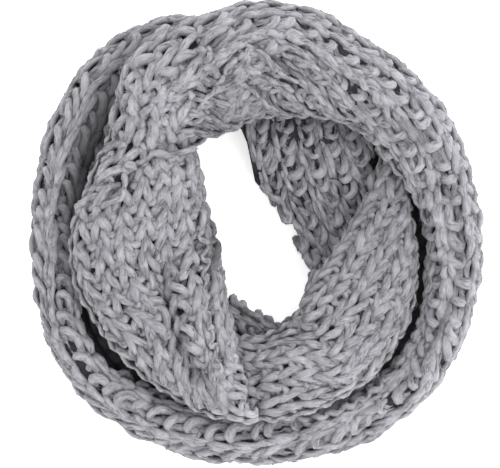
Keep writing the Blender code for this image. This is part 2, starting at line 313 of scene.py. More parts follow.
LOWER_RUN = [Section(*row) for row in (
    (105, 84, 28, 98, 32, 4.5, 3, 3),
    (97.5, 80, 24, 99, 32, 4.5, 4, 3),
    (90, 39, 9, 100, 33, 6, 16, 3),
    (82.5, 34, 9, 101, 35, 7, 16, 3),
    (75, 30, 9, 103, 36, 8, 16, 3),
    (60, 30, 9, 110, 40, 8, 16, 3),
    (45, 28.5, 9, 111, 38, 8, 15, 3),
    (30, 27, 9, 105, 31, 8, 14, 3),
    (15, 29, 9, 96, 22, 8, 12, 3),
    (0, 32, 9, 96, 18, 8, 12, 3),
    (-15, 34, 9, 98, 16, 8, 11, 3),
    (-30, 47, 9, 102, 15, 7, 11, 3),
    (-45, 57, 9, 106, 15, 7, 11, 3),
    (-60, 68, 9, 108, 15, 6.5, 11, 3),
    (-75, 73, 9, 108, 14, 6, 11, 3),
    (-90, 60, 9, 104, 14, 6, 11, 3),
    (-105, 52, 9, 98, 13, 6, 11, 3),
    (-112.5, 50, 9, 94, 13, 6, 11, 3),
)]

MIDDLE_RUN = [Section(*row) for row in (
    (37.5, 115, 38, 125, 39, 4, 2, 2),
    (30, 111, 39, 122, 40, 4, 3, 3),
    (22.5, 97, 42, 119, 40, 8, 4, 8),
    (15, 86, 45, 118, 39, 13, 5, 16),
    (0, 68, 47, 119, 38, 19, 7, 20),
    (-15, 61, 47, 125, 38, 23, 8, 20),
    (-30, 58, 45, 132, 42, 25, 9, 22),
    (-45, 60, 44, 136, 50, 25, 14, 14),
    (-60, 71, 42, 138, 58, 23, 24, 6),
    (-75, 77, 42, 140, 61, 20, 24, 6),
    (-90, 79, 38, 142, 55, 12, 20, 5),
    (-97.5, 79, 35, 137, 49, 10, 17, 5),
    (-105, 78, 31, 130, 42, 8, 13, 4),
    (-112.5, 77, 27, 120, 35, 6.5, 7, 4),
)]

# Creases: rays and radii of their three places, depth, reach and shade, which is painted shade on the yarn
# in them. The solids have these too.
TROUGHS = [Trough(*row) for row in (
    (172, 113, 150, 99, 130, 94, 5, 9),                     # crossing crease
    (205, 82, 228, 91, 252, 120, 6.5, 9),                   # left trough
    (122, 93, 90, 112, 56, 117, 9, 21),                     # top pocket
    (40, 134, 22, 142, 2, 150, 2.5, 9),                     # right dimple
)]

# The solids don't have these, which are too fine; their shade is painted shade, and the top inner one is
# little more than painted shade.
CREASES = [Trough(*row) for row in (
    (174, 117, 150, 99, 124, 88, 3.5, 6, 0.5),              # crossing line
    (190, 66, 222, 87, 264, 134, 11, 12, 1),                # left crease
    (232, 40, 195, 32, 140, 52, 2, 9, 0.3),                 # left hole side
    (262, 108, 228, 56, 170, 41, 2, 8, 0.95),               # left ladder
    (-160, 145, -208, 140, -246, 172, 11, 24, 1),           # left channel
    (128, 86, 102, 91, 66, 101, 1, 16, 0.3),                # top inner
    (104, 124.5, 92.8, 111.5, 81, 101.5, 3, 4.2, 1),        # pocket slit low
    (98, 133, 85.9, 121, 73, 113.5, 3, 4.2, 1),             # pocket slit middle
    (93, 141.5, 83.1, 130.3, 72, 123.5, 3, 4.2, 1),         # pocket slit high
    (118, 106, 104, 121, 92, 137, 2, 4, 0.7),               # pocket side
    (52, 132, 26, 144, -12, 157, 2, 5, 0.55),               # right groove
    (4, 153, -22, 158.5, -58, 161, 2, 5.5, 0.6),            # lower right groove
)]

# Hardly creases, but painted shade: under the edge of the top, and behind the turn at the right.
SHADOWS = [Trough(122, 88, 68, 101, 8, 122, 1, 22, 0.6)]
RIGHT_SHADOWS = [Trough(60, 95, 12, 98, -50, 110, 1, 50, 0.25)]


class Run:
    """A run of the strip: its measured sections and the creases that lie across it."""

    CREASE_FADE = 2.0           # how soon creases fade out towards the cloth's edges

    def __init__(self, sections: list[Section], troughs: list[Trough]) -> None:
        """Keep the table of sections and the creases."""
        self.troughs = troughs
        self.table = np.array([list(vars(section).values()) for section in sections], float)

    def slope(self, index: int) -> np.ndarray:
        """Return the slopes of all sizes at one section, for smooth curves with no overshoot.

        Args:
            index: The section's place in the table.

        Returns:
            A slope for each size.
        """
        if index in (0, len(self.table) - 1):
            return np.zeros(self.table.shape[1])
        rows = self.table
        before = (rows[index] - rows[index - 1]) / (rows[index, 0] - rows[index - 1, 0])
        after = (rows[index + 1] - rows[index]) / (rows[index + 1, 0] - rows[index, 0])
        turning = before * after <= 0.0
        total = np.where(turning, 1.0, before + after)
        return np.where(turning, 0.0, 2.0 * before * after / total)

    def section(self, at: float) -> Section:
        """Work out the section on any ray of the run.

        Args:
            at: The ray's angle.

        Returns:
            The section.
        """
        last = len(self.table) - 2
        index = next((k for k in range(last + 1) if self.table[k, 0] >= at >= self.table[k + 1, 0]), last)
        first, second = self.table[index], self.table[index + 1]
        span = second[0] - first[0]
        t = (at - first[0]) / span
        sizes = (
            first * (2 * t ** 3 - 3 * t ** 2 + 1)
            + self.slope(index) * span * (t ** 3 - 2 * t ** 2 + t)
            + second * (3 * t ** 2 - 2 * t ** 3)
            + self.slope(index + 1) * span * (t ** 3 - t ** 2)
        )
        return Section(at, *sizes[1:])

    def shade(self, at: float, radius: np.ndarray) -> np.ndarray:
        """Return the share of its colour that the cloth keeps under the creases' painted shade along one
        ray.

        Args:
            at: The ray's angle.
            radius: Distances from the ring's middle.

        Returns:
            A share for each distance.
        """
        kept = np.ones_like(radius)
        for trough in self.troughs:
            kept = kept * (1.0 - trough.shade * trough.depth_at(at, radius) / trough.depth)
        return kept

    def ray_points(self, at: float, angles: np.ndarray, depth: float) -> np.ndarray:
        """Return points on one ray of the cloth, at some share of its thickness under its outer face.

        Args:
            at: The ray's angle.
            angles: Places on the section's arc.
            depth: Share of the thickness, 0 on the outer face and 1 on the inner one.

        Returns:
            An array of x, y and z in millimetres, one row a place.
        """
        section = self.section(at)
        radius, level = section.arc(angles, depth * section.thickness())
        outer_radius, _ = section.arc(angles, 0.0)
        upper_side = np.clip(self.CREASE_FADE * np.sin(np.radians(angles)), 0.0, 1.0)
        for trough in self.troughs:
            level = level - trough.depth_at(at, outer_radius) * upper_side
        turn = math.radians(at)
        x = radius * math.cos(turn) + CENTRE[0]
        y = radius * math.sin(turn) + CENTRE[1]
        return np.stack([x, y, level], axis=1)


@dataclass(frozen=True)
class Lie:
    """The places that stitches are knitted to: points of the cloth and the way that it faces there."""

    points: np.ndarray
    facing: np.ndarray
    radius: np.ndarray
    on_cloth: np.ndarray
    light: np.ndarray           # share of its colour that no crease's painted shade takes from it


class Surface:
    """The middle of a run's cloth, as a grid of rays and lengths counted from one of its edges."""

    RAY_STEP = 1.25             # degrees between two rays of the grid
    ARC_STEP = 1.0              # millimetres between two places of the grid on one ray
    ARC_SAMPLES = 121
    ARC_REACH = 240.0           # the grid goes this far either way from the edge it is counted from
    LENGTHS = np.arange(-ARC_REACH, ARC_REACH + ARC_STEP, ARC_STEP)

    def __init__(self, run: Run, edge: Edge, start: float, end: float) -> None:
        """Lay the grid between two rays.

        Args:
            run: The run of the strip.
            edge: The edge that lengths are counted from.
            start: The first ray, at the greater angle.
            end: The last ray.
        """
        self.start, self.end = start, end
        self.rays = np.linspace(start, end, max(2, round((start - end) / self.RAY_STEP) + 1))
        angles = np.linspace(180.0 + ROLL, -ROLL, self.ARC_SAMPLES)
        origin = int(round((180.0 + ROLL - edge.value) / (180.0 + 2.0 * ROLL) * (self.ARC_SAMPLES - 1)))
        sign = 1.0 if edge is Edge.INNER else -1.0
        points, reach = [], []
        for at in self.rays:
            arc = run.ray_points(at, angles, GROUND_DEPTH)
            along = lengths_to(arc)
            along = sign * (along - along[origin])
            order = np.argsort(along)
            along, arc = along[order], arc[order]
            points.append(self.follow(along, arc))
            reach.append((along[0], along[-1]))
        self.points = np.array(points)
        self.reach = np.array(reach)
        self.facing = self.face_out(sign)
        radii, _ = from_middle(self.points)
        # painted shade of the creases on each place of the grid
        self.light = np.array([run.shade(at, row) for at, row in zip(self.rays, radii)])[..., None]

    def follow(self, along: np.ndarray, arc: np.ndarray) -> np.ndarray:
        """Place one ray's points at even lengths, going straight on past both ends of the arc.

        Args:
            along: The length at each point of the arc.
            arc: Its points.

        Returns:
            A point for each length of the grid.
        """
        row = np.stack([np.interp(self.LENGTHS, along, arc[:, k]) for k in range(3)], axis=1)
        for end, inside in ((0, 1), (-1, -2)):
            way = (arc[end] - arc[inside]) / abs(along[end] - along[inside])
            past = np.maximum(0.0, (self.LENGTHS - along[end]) * (1.0 if end else -1.0))
            row += past[:, None] * way
        return row

    def face_out(self, sign: float) -> np.ndarray:
        """Return the ways that the grid faces, away from the hollow of the fold."""
        across, round_ring = np.gradient(self.points, axis=1), np.gradient(self.points, axis=0)
        return unit(np.cross(round_ring, across) * sign)

    def look_up(self, at: np.ndarray, length: np.ndarray) -> Lie:
        """Find where stitches lie.

        Args:
            at: Their rays.
            length: Their lengths from the edge.

        Returns:
            Their places on the cloth.
        """
        ray = np.clip((self.start - at) / (self.start - self.end), 0.0, 1.0) * (len(self.rays) - 1)
        step = np.clip((length - self.LENGTHS[0]) / self.ARC_STEP, 0.0, len(self.LENGTHS) - LAST_CELL)
        i = np.minimum(ray.astype(int), len(self.rays) - 2)
        j = np.minimum(step.astype(int), len(self.LENGTHS) - 2)
        a, b = ray - i, step - j
        on = a[..., None], b[..., None]
        points, facing, light = (blend(grid, (i, j), on) for grid in (self.points, self.facing, self.light))
        low, high = (self.reach[i, k] * (1.0 - a) + self.reach[i + 1, k] * a for k in range(2))
        on_cloth = (length > low) & (length < high) & (at <= self.start) & (at >= self.end)
        return Lie(points, unit(facing), from_middle(points)[0], on_cloth, light[..., 0])

    def column_steps(self, share: float) -> np.ndarray:
        """Return the length along the ring at each ray, at some share of the way to the far edge."""
        return lengths_to(self.look_up(self.rays, share * self.reach[:, 1]).points)


@dataclass(frozen=True)
class Fan:
    """Where the rows of a patch fan out from, if not from the middle of the ring."""

    x: float
    y: float
    reach: float                # distance of the patch's near edge
    width: float
    start: float                # the first ray, at the greater angle
    end: float


class Patch(Surface):
    """The top of a run's cloth, as a grid of rays from some other place than the ring's middle."""

    RAY_STEP = 0.8
    TOP = (175.0, 5.0)          # the arc's places where its top starts and ends

    def __init__(self, run: Run, fan: Fan) -> None:
        """Lay the grid.

        Args:
            run: The run of the strip.
            fan: Where the rays come from and how far they go.
        """
        self.start, self.end = fan.start, fan.end
        self.rays = np.linspace(fan.start, fan.end, round((fan.start - fan.end) / self.RAY_STEP) + 1)
        turn = np.radians(self.rays)[:, None]
        away = fan.reach - self.LENGTHS[None]
        x, y = fan.x + away * np.cos(turn), fan.y + away * np.sin(turn)
        radius, angle = from_middle(np.stack([x, y], axis=2))
        turned = np.degrees(angle) - run.table[-1, 0]
        levels, lights = self.tables(run)
        self.points = np.stack([x, y, self.find(levels, turned, radius)], axis=2)
        self.reach = np.tile([0.0, fan.width], (len(self.rays), 1))
        self.facing = self.face_out(1.0)
        self.facing = self.facing * np.where(self.facing[..., 2:] < 0.0, -1.0, 1.0)
        # painted shade of the creases on each place of the grid
        self.light = self.find(lights, turned, radius)[..., None]

    def tables(self, run: Run) -> tuple[np.ndarray, np.ndarray]:
        """Work out the height of the cloth's top and its painted shade.

        Args:
            run: The run of the strip.

        Returns:
            Both by degrees from the run's last ray and by millimetres from the ring's middle.
        """
        first, last = run.table[0, 0], run.table[-1, 0]
        distances = np.arange(0.0, self.ARC_REACH, 1.0)
        levels, lights = [], []
        for at in np.arange(last, first + 1.0, 1.0):
            arc = run.ray_points(min(at, first), np.linspace(*self.TOP, self.ARC_SAMPLES), GROUND_DEPTH)
            levels.append(np.interp(distances, from_middle(arc)[0], arc[:, 2]))
            lights.append(run.shade(at, distances))
        return np.array(levels), np.array(lights)

    @staticmethod
    def find(table: np.ndarray, turned: np.ndarray, radius: np.ndarray) -> np.ndarray:
        """Read a table at some places.

        Args:
            table: The table.
            turned: Degrees from the run's last ray.
            radius: Distances from the ring's middle.

        Returns:
            The table's value at each place.
        """
        i = np.clip(turned, 0.0, table.shape[0] - LAST_CELL)
        j = np.clip(radius, 0.0, table.shape[1] - LAST_CELL)
        cell = i.astype(int), j.astype(int)
        return blend(table, cell, (i - cell[0], j - cell[1]))


@dataclass(frozen=True)
class Gauge:
    """How the rib is knitted: the sizes of its loops and of the yarn."""

    knit_width: float
    purl_width: float           # 0 where the purl columns have closed up out of sight
    course: float               # height of a row of loops
    knit_lift: float            # how far knit columns stand out in front of purl ones
    depth: float                # how far a loop goes to the front and to the back
    overlap: float              # how far a loop reaches into its neighbours, up and down
    knit_bow: float             # how far a knit loop's legs lean apart, as a share of its width
    purl_bow: float
    yarn: float                 # radius of the yarn
    knit_yarn: float = 1.0      # share of that radius in knit columns
    purl_yarn: float = 1.0
    plump: float = 0.18         # how much fuller the yarn is where it comes to the front
    tilt: float = 0.0           # how far a purl loop's head leans, as a share of the row's height
    ridge: float = 1.5          # how far a knit column rounds off towards its sides
    lead: float = 0.0           # how far one leg of a knit loop lies in front of the other
    purl_lead: float = 0.0
    rings: float = 0.3          # how far all of a purl loop but its feet comes to the front
    bumps: float = 0.7          # how far a purl loop's head and feet come to the front of its legs
    loose: float = 1.0          # how uneven the loops are
    core: float = 0.0           # radius of the strand that shows through a purl column's loops
    core_lift: float = -1.2     # how far it stands out from the cloth's middle
    core_light: float = 0.45    # painted shade on it: share of its colour that it keeps
    open: float = 0.0           # painted shade: share of the shade painted on its depths that is taken off again


@dataclass(frozen=True)
class Field:
    """A patch of the rib whose columns run side by side."""

    name: str
    node: str | None                # the stretch that it belongs to, if it is on one only
    run: str
    edge: Edge
    start: float
    end: float
    gauge: Gauge
    guide: Places                   # rays, and lengths of the first knit column's middle
    beyond: Places = ()             # rays, and the patch's least distance from the ring's middle
    within: Places = ()             # rays, and its greatest distance
    widths: tuple[float, ...] = ()  # widths of the columns from the first knit one on
    lift: float = 0.0               # how far the patch stands out from the cloth's middle
    fan: float = 0.8                # 1 spreads rows like a fan, 0 keeps them a course apart
    square: float | None = None     # the ray where rows are square to the columns
    heads: float = 1.0              # -1 where the loops point back along the run
    spread: Fan | None = None       # where its rows fan out from, if not from the middle
    seed: int = 11                  # start of its unevenness
    changes: tuple[tuple[float, Gauge], ...] = ()   # other gauges on the way, and their rays


@dataclass(frozen=True)
class Strand:
    """A stretch of yarn: its centre line, with the cloth's facing and the yarn's radius along it."""

    points: np.ndarray
    facing: np.ndarray
    radius: np.ndarray
    level: np.ndarray           # painted shade: 1 where the yarn comes to the front in the open, lower where it lies deep or in a shaded crease
    at: float                   # the ray that it lies round


class Knitter:
    """Works out the yarn's path through a patch of rib, one row of loops at a time.

    The sizes of the unevenness are usual ones, for a gauge with a looseness of 1.
    """

    TURN_POINTS = 16            # points on the yarn in each loop
    SMOOTHING = np.array([0.25, 0.5, 0.25])
    WIDEST = 190.0              # columns are laid this far either way
    TUCK_POINTS = 7             # points at a strand's end that turn in out of sight
    TUCK = 5.0                  # how far they turn in
    ROW_SHARES = 9              # places across the cloth where the rows are spaced out
    RISE = 1.3                  # how soon a ring-like loop's legs come to the front
    PAST_RAYS = 5.0             # degrees that a row past the patch's end is counted off
    SLACK = 4.0                 # how far a spread row's stitches hang over the edge
    MOST = 0.55                 # share of a stitch's points on the patch that keeps the stitch
    CREASE_SHADE = 0.25         # painted shade: how far below the deepest yarn's shade a crease's middle is painted
    TRIES = 4                   # rounds of working out the ray that a point lies on
    BEFORE = 1.0                # degrees before the patch where its first gauge starts to change
    DRIFT = 5                   # neighbouring rows and columns that a slow unevenness is shared by
    BOW_VARIES = 0.25           # unevenness of a loop's bow, as a share of it
    PLACE_VARIES = 0.9          # of its place across the columns, in millimetres
    PLACE_DRIFTS = 1.1
    REACH_VARIES = 0.12         # of its reach up and down, as a share of it
    ROW_VARIES = 0.1            # of its place along the columns, in rows
    ROW_DRIFTS = 0.12
    TILT_VARIES = 0.12
    FRONT_VARIES = 0.8          # of how far it stands out, in millimetres
    FRONT_DRIFTS = 0.7
    YARN_VARIES = 0.13          # of the yarn's radius, as a share of it
    CORE_POINTS = 4             # points to a row on the strand behind a purl column
    CORE_SWAY = 0.16            # how far it goes from side to side, as a share of the column's width
    CORE_WAVE = 0.8             # how far it goes in and out
    CORE_SWELL = 0.2            # how much fuller it is once a row
    CORE_LAG = 1.0              # how far that runs ahead of its waves, in radians
    CORE_PLACE_VARIES = 1.0
    CORE_FRONT_VARIES = 0.6
    CORE_YARN_VARIES = 0.12

    def __init__(self, field: Field, surface: Surface) -> None:
        """Take a patch of rib and the cloth that it lies on."""
        self.field, self.surface = field, surface
        self.random = np.random.default_rng(field.seed)

    def columns(self) -> tuple[np.ndarray, np.ndarray, np.ndarray]:
        """Lay out the columns on both sides of the first knit one.

        Returns:
            The start of each column, its width, and 1 for knit or -1 for purl.
        """
        gauge = self.field.gauge
        widths = {Stitch.KNIT: gauge.knit_width, Stitch.PURL: gauge.purl_width}
        laid = []
        place, kind = -gauge.knit_width / 2.0, Stitch.KNIT
        special = list(self.field.widths)
        while place < self.WIDEST:
            width = special.pop(0) if special else widths[kind]
            laid.append((place, width, kind.value))
            place += width
            kind = Stitch(-kind.value)
        place, kind = -gauge.knit_width / 2.0, Stitch.PURL
        while place > -self.WIDEST:
            place -= widths[kind]
            laid.insert(0, (place, widths[kind], kind.value))
            kind = Stitch(-kind.value)
        starts, sizes, kinds = np.array([column for column in laid if column[1] > 0.0]).T
        return starts, sizes, kinds

    def row_grid(self) -> np.ndarray:
        """Return the ray of each row of loops, at even shares of the way across the cloth.

        Returns:
            One row of the array for each share, one column for each row of loops.
        """
        surface, field = self.surface, self.field
        lines = [surface.column_steps(share) for share in np.linspace(0.0, 1.0, self.ROW_SHARES)]
        square = (surface.start + surface.end) / 2.0 if field.square is None else field.square
        middle = lines[self.ROW_SHARES // 2][-1]
        courses = [field.gauge.course * (line[-1] / middle) ** field.fan for line in lines]
        before = max(line[-1] / course for line, course in zip(lines, courses))
        numbers = np.arange(-math.ceil(before), math.ceil(before) + 1)
        grid = []
        for line, course in zip(lines, courses):
            place = np.interp(-square, -surface.rays, line) + numbers * course
            rays = np.interp(place, line, surface.rays)
            rays += np.where(place < 0.0, -place, 0.0) / course * self.PAST_RAYS
            rays -= np.where(place > line[-1], place - line[-1], 0.0) / course * self.PAST_RAYS
            grid.append(rays)
        grid = np.array(grid)
        first, last = surface.start + self.PAST_RAYS, surface.end - self.PAST_RAYS
        return grid[:, (grid.min(axis=0) < first) & (grid.max(axis=0) > last)]

    def uneven(self, size: float, shape: tuple[int, int], where: np.ndarray, shared: int = 1) -> np.ndarray:
        """Return a smooth unevenness along each row of loops.

        Args:
            size: Its usual size.
            shape: Rows and columns.
            where: Place of each point on the yarn, in columns.
            shared: How many neighbouring rows and columns share it.

        Returns:
            A value for each row and point.
        """
        rows, knots = shape[0], shape[1] + 1
        drawn = (rows + shared - 1, knots + shared - 1)
        values = self.random.normal(0.0, size * self.field.gauge.loose, drawn)
        spots = [(i, j) for i in range(shared) for j in range(shared)]
        smooth = sum(values[i:i + rows, j:j + knots] for i, j in spots) / shared
        return np.array([np.interp(where, np.arange(knots), row) for row in smooth])

    def strands(self) -> list[Strand]:
        """Knit the patch.

        Returns:
            The strands of yarn, cut where the patch ends.
        """
        field, gauge = self.field, self.field.gauge
        starts, widths, kinds = self.columns()
        grid = self.row_grid()
        columns, rows = len(starts), grid.shape[1]
        sizes = {size: self.by_row(size, grid[self.ROW_SHARES // 2]) for size in vars(gauge)}
        turn = np.arange(columns * self.TURN_POINTS) / self.TURN_POINTS
        column = turn.astype(int)
        phase = 2.0 * math.pi * (turn - column)
        width, knit = widths[column], kinds[column] > 0.0
        loops = (rows, columns), turn
        bow = np.where(knit, sizes["knit_bow"], sizes["purl_bow"])
        bow = bow * (1.0 + self.uneven(self.BOW_VARIES, *loops))
        share = turn - column + bow * np.sin(2.0 * phase)
        across = starts[column] + width * share
        across = (across + self.uneven(self.PLACE_VARIES, *loops)
                  + self.uneven(self.PLACE_DRIFTS, *loops, self.DRIFT))
        reach = (gauge.course + sizes["overlap"]) / 2.0 / gauge.course
        up = -reach * np.cos(phase) * (1.0 + self.uneven(self.REACH_VARIES, *loops))
        up = up + self.uneven(self.ROW_VARIES, *loops)
        tilt = np.where(knit, 0.0, sizes["tilt"] + self.uneven(self.TILT_VARIES, *loops))
        up = up + tilt * np.sin(phase) + self.uneven(self.ROW_DRIFTS, *loops, self.DRIFT)
        up = up * field.heads
        legs = -np.cos(2.0 * phase)
        rings = 1.0 - 2.0 * ((1.0 + np.cos(phase)) / 2.0) ** self.RISE
        bumps = self.smooth(np.where(knit, legs, -legs), 2)
        forward = np.where(knit, bumps, sizes["rings"] * rings + sizes["bumps"] * bumps)
        knits = self.smooth(np.where(knit, 1.0, 0.0), 3)
        front = sizes["depth"] * forward + sizes["knit_lift"] * knits
        side = 2.0 * share - 1.0
        front = front + np.where(knit, sizes["lead"], sizes["purl_lead"]) * side
        front = front - np.where(knit, sizes["ridge"] * side ** 2, 0.0)
        front = (front + field.lift + self.uneven(self.FRONT_VARIES, *loops)
                 + self.uneven(self.FRONT_DRIFTS, *loops, self.DRIFT))
        lie, at = self.lay(across, np.arange(rows)[:, None] + up, grid)
        thick = sizes["yarn"] * (sizes["knit_yarn"] * knits + sizes["purl_yarn"] * (1.0 - knits))
        thick = thick * (1.0 + sizes["plump"] * forward) * (1.0 + self.uneven(self.YARN_VARIES, *loops))
        # painted shade: darker where a loop lies deep, and darker still in the creases' painted shade
        level = 1.0 - (0.5 - 0.5 * forward) * (1.0 - sizes["open"])
        level = level * lie.light - self.CREASE_SHADE * (1.0 - lie.light)
        strands = self.cut(lie, front, thick, level, at, self.TURN_POINTS)
        return strands + (self.cores(grid, starts, widths, kinds) if gauge.core > 0.0 else [])

    def cores(self, grid: np.ndarray, starts: np.ndarray, widths: np.ndarray,
              kinds: np.ndarray) -> list[Strand]:
        """Lay the strands that show through the open loops of the purl columns.

        Args:
            grid: The rays of the rows, from row_grid.
            starts: Where each column starts.
            widths: Its width.
            kinds: 1 for knit and -1 for purl.

        Returns:
            One strand or more for each purl column.
        """
        gauge = self.field.gauge
        purl = kinds < 0.0
        middle, width = (starts + widths / 2.0)[purl], widths[purl]
        row = np.arange((grid.shape[1] - 1) * self.CORE_POINTS) / self.CORE_POINTS
        rows = (len(middle), grid.shape[1]), row
        turn = 2.0 * math.pi * row + self.random.uniform(0.0, 2.0 * math.pi, len(middle))[:, None]
        sway = self.CORE_SWAY * width[:, None] * np.sin(turn) + self.uneven(self.CORE_PLACE_VARIES, *rows)
        lie, at = self.lay(middle[:, None] + sway, np.broadcast_to(row, sway.shape), grid)
        front = gauge.core_lift + self.CORE_WAVE * np.cos(turn) + self.field.lift
        front = front + self.uneven(self.CORE_FRONT_VARIES, *rows)
        thick = gauge.core * (1.0 + self.CORE_SWELL * np.cos(turn + self.CORE_LAG))
        thick = thick * (1.0 + self.uneven(self.CORE_YARN_VARIES, *rows))
        # painted shade on the strands behind the purl columns
        level = np.full(thick.shape, gauge.core_light)
        return self.cut(lie, front, thick, level, at, self.CORE_POINTS)

    def by_row(self, name: str, rays: np.ndarray) -> np.ndarray:
        """Return one size of the gauge for each row of loops.

        Args:
            name: The size's name.
            rays: The rows' rays.

        Returns:
            A column of sizes.
        """
        gauges = [(self.surface.start + self.BEFORE, self.field.gauge), *self.field.changes]
        at = np.array([place for place, _ in gauges])
        return np.interp(-rays, -at, [getattr(gauge, name) for _, gauge in gauges])[:, None]

    def smooth(self, values: np.ndarray, times: int) -> np.ndarray:
        """Return values along the yarn with their steps rounded off.

        Args:
            values: The values.
            times: How many times they are rounded off.

        Returns:
            As many values.
        """
        for _ in range(times):
            values = np.convolve(np.pad(values, 1, mode="edge"), self.SMOOTHING, mode="valid")
        return values

    def lay(self, across: np.ndarray, row: np.ndarray, grid: np.ndarray) -> tuple[Lie, np.ndarray]:
        """Find where the yarn lies on the cloth.

        Args:
            across: Length across the columns, from the guide.
            row: Place along the columns, in rows of loops.
            grid: The rays of the rows, from row_grid.

        Returns:
            The yarn's places and their rays.
        """
        low = np.clip(np.floor(row).astype(int), 0, grid.shape[1] - 2)
        at = grid[self.ROW_SHARES // 2][low]
        for _ in range(self.TRIES):
            length = on_rays(self.field.guide, at) + across
            high = np.interp(-at, -self.surface.rays, self.surface.reach[:, 1])
            share = np.clip(length / high, 0.0, 1.0) * (self.ROW_SHARES - 1)
            near = np.minimum(share.astype(int), self.ROW_SHARES - 2)
            at = blend(grid, (near, low), (share - near, row - low))
        return self.surface.look_up(at, length), at

    def kept(self, lie: Lie, points_each: int) -> np.ndarray:
        """Return which points belong to stitches that lie on the patch.

        Args:
            lie: The places of the points.
            points_each: How many of them each stitch has.

        Returns:
            True or false for each point.
        """
        field = self.field
        at = np.degrees(from_middle(lie.points)[1])
        at = at + 360.0 * np.round(((field.start + field.end) / 2.0 - at) / 360.0)
        keep = lie.on_cloth.copy()
        if field.beyond:
            keep &= lie.radius > on_rays(field.beyond, at)
        if field.within:
            keep &= lie.radius < on_rays(field.within, at)
        rows, points = keep.shape
        stitches = keep.reshape(rows, points // points_each, points_each).mean(axis=2) > self.MOST
        kept = np.repeat(stitches, points_each, axis=1)
        if field.spread:
            kept &= lie.radius > on_rays(field.beyond, at) - self.SLACK
        return kept

    def cut(self, lie: Lie, front: np.ndarray, thick: np.ndarray, level: np.ndarray, at: np.ndarray,
            points_each: int) -> list[Strand]:
        """Cut each row of loops into the strands that lie on the patch.

        Args:
            lie: Where each row's points lie on the cloth.
            front: How far they stand out from it.
            thick: The yarn's radius there.
            level: How far to the front it comes.
            at: The points' rays.
            points_each: How many points each stitch has.

        Returns:
            The strands, with their ends tucked in.
        """
        points = lie.points + front[..., None] * lie.facing
        strands = []
        for row, kept in enumerate(self.kept(lie, points_each)):
            marks = np.flatnonzero(np.diff(np.concatenate([[0], kept.astype(int), [0]])))
            for first, last in zip(marks[::2], marks[1::2]):
                part = row, slice(first, last)
                inward = tuck(last - first, self.TUCK_POINTS, self.TUCK)[:, None] * lie.facing[part]
                strands.append(Strand(points[part] - inward, lie.facing[part], thick[part], level[part],
                                      float(at[part].mean())))
        return strands


@dataclass(frozen=True)
class Edging:
    """One long strand of yarn that follows an edge or a crease of the cloth, a little wavy."""

    node: str
    run: str
    edge: Edge
    line: Places                    # rays, and lengths from the edge or distances from the middle
    distances: bool = False         # whether the line tells distances
    radius: float = 1.9
    lift: float = 5.0               # how far it stands out from the cloth's middle
    sway: float = 0.7               # how far its waves go sideways
    wave: float = 14.0              # length of a wave
    STEP = 1.6                      # length between two points of the yarn
    PAINTED_LEVEL = 0.8                     # painted shade: how far to the front it counts as lying
    RAYS = 60                       # rays on which a line that tells distances is looked up
    TRIED = np.arange(0.0, 110.0, 0.5)      # lengths that are tried for it
    WINDOW = 9                      # rays that its lengths are averaged over
    WAVE_VARIES = 0.3               # unevenness of its waves, as a share of their length
    DRIFT = 0.6                     # slow unevenness of its place, in millimetres
    DRIFT_STEP = 20.0
    HEAVE = 0.8                     # how far its waves go in and out
    SWELL = 0.14                    # how much fuller it is at the front of a wave
    YARN_VARIES = 0.05              # unevenness of its radius, as a share of it
    TUCK_POINTS = 4                 # points at its ends that turn in out of sight
    TUCK = 5.0                      # how far they turn in

    def lengths(self, surface: Surface) -> tuple[np.ndarray, np.ndarray]:
        """Work out the line's lengths from the edge.

        Args:
            surface: The cloth between the line's two ends.

        Returns:
            Some rays and the length on each.
        """
        rays, told = np.array(self.line, float).T
        if not self.distances:
            return rays, told
        fine = np.linspace(rays[0], rays[-1], self.RAYS)
        wanted = np.interp(-fine, -rays, told)
        places = np.tile(self.TRIED, (self.RAYS, 1))
        radii = surface.look_up(np.repeat(fine[:, None], len(self.TRIED), 1), places).radius
        found = np.array([self.TRIED[np.argmax(row <= want)] for row, want in zip(radii, wanted)])
        window = np.full(self.WINDOW, 1.0 / self.WINDOW)
        return fine, np.convolve(np.pad(found, self.WINDOW // 2, mode="edge"), window, mode="valid")

    def strand(self, run: Run, random: np.random.Generator) -> Strand:
        """Lay the strand.

        Args:
            run: The run of the strip.
            random: Source of the unevenness.

        Returns:
            The strand of yarn.
        """
        surface = Surface(run, self.edge, self.line[0][0], self.line[-1][0])
        rays, lengths = self.lengths(surface)
        walked = lengths_to(surface.look_up(surface.rays, np.interp(-surface.rays, -rays, lengths)).points)
        total = walked[-1]
        count = int(total / self.STEP)
        along = np.linspace(0.0, total, count)
        at = np.interp(along, walked, surface.rays)
        waves = np.cumsum(1.0 + random.normal(0.0, self.WAVE_VARIES, count)) / count * total / self.wave
        turn = 2.0 * np.pi * waves
        knots = np.arange(0.0, total + self.DRIFT_STEP, self.DRIFT_STEP)
        drift = np.interp(along, knots, random.normal(0.0, self.DRIFT, len(knots)))
        lie = surface.look_up(at, np.interp(-at, -rays, lengths) + self.sway * np.sin(turn) + drift)
        front = self.lift + self.HEAVE * np.cos(turn) - tuck(count, self.TUCK_POINTS, self.TUCK)
        thick = 1.0 + self.SWELL * np.cos(turn) + random.normal(0.0, self.YARN_VARIES, count)
        return Strand(lie.points + front[:, None] * lie.facing, lie.facing, self.radius * thick,
                      np.full(count, self.PAINTED_LEVEL), float(at.mean()))


